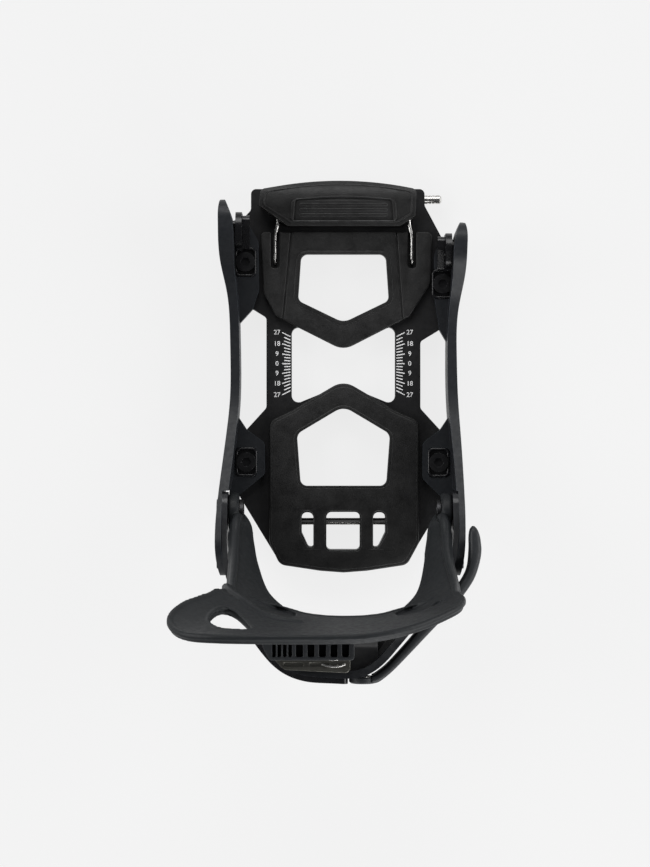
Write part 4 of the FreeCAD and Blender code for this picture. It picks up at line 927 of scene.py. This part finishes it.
# Pairs of points along the lever's outer and inner faces, and its lower and upper levels.
LEVER_STATIONS = [
    (15.4, -176.4, 14.8, -171.8, 68.9, 82.8), (19.2, -175.4, 17.4, -170.4, 68.3, 82.6),
    (26.4, -169.8, 23.2, -165.8, 67.6, 81.8), (36.6, -159.6, 33.0, -155.4, 66.4, 80.2),
    (47.4, -148.4, 43.6, -143.2, 65.0, 78.8), (58.0, -137.6, 54.4, -131.8, 63.2, 76.6),
    (66, -128.2, 62.6, -122.6, 61.8, 74.2), (72, -118.8, 67.2, -114.2, 60.4, 72.6),
    (75.3, -107, 68.4, -104, 60.2, 71.4), (75, -98.5, 68.4, -97.5, 60.8, 70.6),
    (73.6, -93.6, 69.0, -93.2, 61.6, 70.0), (71.8, -91.2, 70.4, -91.1, 64.2, 67.8),
]


def make_lever():
    """The lever's arm with a rounded section and tip, and its hub with a dished face."""
    squareness = 0.62
    rings = []
    for station in smooth_stations(LEVER_STATIONS, 5):
        outer = Vector((station[0], station[1], (station[4] + station[5]) / 2))
        inner = Vector((station[2], station[3], outer.z))
        middle = (outer + inner) / 2
        half_wide = (outer - inner) / 2
        half_tall = Vector((0, 0, (station[5] - station[4]) / 2))
        rings.append(soft_ring(middle, half_wide, half_tall, squareness, squareness))
    low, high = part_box("lever_pin")
    pin_x = (low.x + high.x) / 2 / MM
    pin_z = (low.z + high.z) / 2 / MM
    section = [(2.7, -174.9), (4.7, -174.9), (4.7, -176.4), (6.7, -176.4), (7.5, -175.6),
               (7.5, -173.4), (6.9, -172.8), (5.5, -172.8), (5.5, -174.1), (2.7, -174.1)]
    hub = revolved(section, lambda x, z, depth: (pin_x + x, depth, pin_z + z))
    finish_piece("release_lever_moulding", join([skin_of_rings(rings), hub]), "release_lever", "lever_nylon",
                 stands_for=["release_lever"])


# ---------------------------------------------------------------- forward-lean adjuster


def make_lean_adjuster():
    """The ribbed block with its thin and broad ribs, and the grooved steel foot below it."""
    low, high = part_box("lean_block")
    bottom = low.z / MM
    top = high.z / MM
    rib_floor = bottom + 8.8
    gap_rear, gap_front = -158.7, -150.5
    outline = [(-44.5, -148.9, 1), (-43.5, -154, 2), (-40, -160.5, 2), (5, -160.5, 2), (5, -148.9, 1)]
    gaps = []
    for first, pitch, width, count in ((-38.6, 2.85, 1.9, 4), (-26.0, 6.1, 3.7, 5)):
        for k in range(count):
            x = first + pitch * k
            gaps.append(rounded([(x, gap_rear, 0.8), (x + width, gap_rear, 0.8),
                                 (x + width, gap_front, 0.5), (x, gap_front, 0.5)], 20))
    parts = [flat_mesh("body", [rounded(outline)], bottom, rib_floor + 0.6, 0.4)]
    parts.append(flat_mesh("ribs", [rounded(outline)] + gaps, rib_floor, top, 0.38))
    parts.append(block((-23.3, -149.5, bottom), (-15.7, -146.5, top), 0.4))
    finish_piece("lean_block_ribs", join(parts), "lean_adjuster", "lever_nylon",
                 stands_for=["lean_block"])

    low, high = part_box("lean_foot")
    bottom = low.z / MM
    top = high.z / MM
    plate = rounded([(-43, -149.5, 1), (-42, -157, 4), (-33, -167.4, 6), (3, -169.2, 3), (3, -149.5, 1)])
    groove_rear, groove_front, groove_long, groove_corner = -165.4, -163.6, 11, 0.85
    grooves = []
    for x in (-33.0, -19.0):
        end = x + groove_long
        grooves.append(rounded([(x, groove_rear, groove_corner), (end, groove_rear, groove_corner),
                                (end, groove_front, groove_corner), (x, groove_front, groove_corner)], 20))
    parts = [flat_mesh("lower", [plate], bottom, top - 0.7, 0.3)]
    parts.append(flat_mesh("upper", [plate] + grooves, top - 0.9, top, 0.25))
    finish_piece("lean_foot_plate", join(parts), "lean_adjuster", "dark_steel", "foot_steel",
                 stands_for=["lean_foot"])
    bow_middle = Vector((-6.0, -150.0))
    beads = []
    for radius, half_turn, half_wide in ((15.6, 24, 0.55), (12.2, 30, 0.35)):
        bow = []
        for side, way in ((1, 1), (-1, -1)):
            for k in range(13):
                angle = math.radians(-90 + way * half_turn * (k / 6 - 1))
                reach = radius + side * half_wide
                bow.append(bow_middle + Vector((math.cos(angle), math.sin(angle))) * reach)
        beads.append(flat_mesh("bead", [bow], top - 0.4, top + 0.8, 0.3))
    finish_piece("lean_foot_beads", join(beads), "lean_adjuster", "bright_steel")


# ---------------------------------------------------------------- pedal wires and toe rod


def make_pedal_wires():
    """The two wires, bent inwards under the pedal and down at their tips."""
    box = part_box("pedal_wire_right")
    wire_r = (box[1].x - box[0].x) / 2 / MM
    x = (box[1].x + box[0].x) / 2 / MM
    level = box[1].z / MM - wire_r
    tip = box[0].y / MM + wire_r
    for name, sign in (("left", -1), ("right", 1)):
        inward = -sign
        stations = [(sign * x + inward * 1.6, 84, level), (sign * x + inward * 1.5, 80, level),
                    (sign * x + inward * 0.5, 75.2, level), (sign * x, 71.5, level),
                    (sign * x, 65, level), (sign * x, 60.6, level), (sign * x, tip + 0.9, level - 0.8),
                    (sign * x, tip, level - 1.4)]
        path = [Vector(point) for point in smooth_stations(stations, 5)]
        finish_piece("pedal_wire_bent_" + name, tube(path, [wire_r] * len(path)), "gas_pedal",
                     "bright_steel", stands_for=["pedal_wire_" + name], sharp=50)


def make_toe_rod():
    """The toe rod with its grooves and the chamfered end that sticks out on the right."""
    low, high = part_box("toe_rod")
    start = low.x / MM
    end = high.x / MM
    radius = (high.z - low.z) / 2 / MM
    centre = ((low.y + high.y) / 2 / MM, (low.z + high.z) / 2 / MM)
    chamfer = 0.5
    groove_top, groove_foot, groove_deep = 0.35, 0.2, 0.45
    tip_long, tip_drop = 1.0, 0.9
    profile = [(start, radius - chamfer), (start + chamfer, radius)]
    for back in (7.6, 5.6, 3.6):
        x = end - back
        profile += [(x - groove_top, radius), (x - groove_foot, radius - groove_deep),
                    (x + groove_foot, radius - groove_deep), (x + groove_top, radius)]
    profile += [(end - tip_long, radius), (end, radius - tip_drop)]
    finish_piece("toe_rod_turned", turned(profile, centre), "base", "bright_steel",
                 stands_for=["toe_rod"], sharp=25)


dress_cad_nodes()
make_stage()
make_toe_footbed()
make_heel_footbed()
make_scale()
make_pedal_panel()
make_bolt_seats()
make_highback()
make_lever()
make_lean_adjuster()
make_pedal_wires()
make_toe_rod()
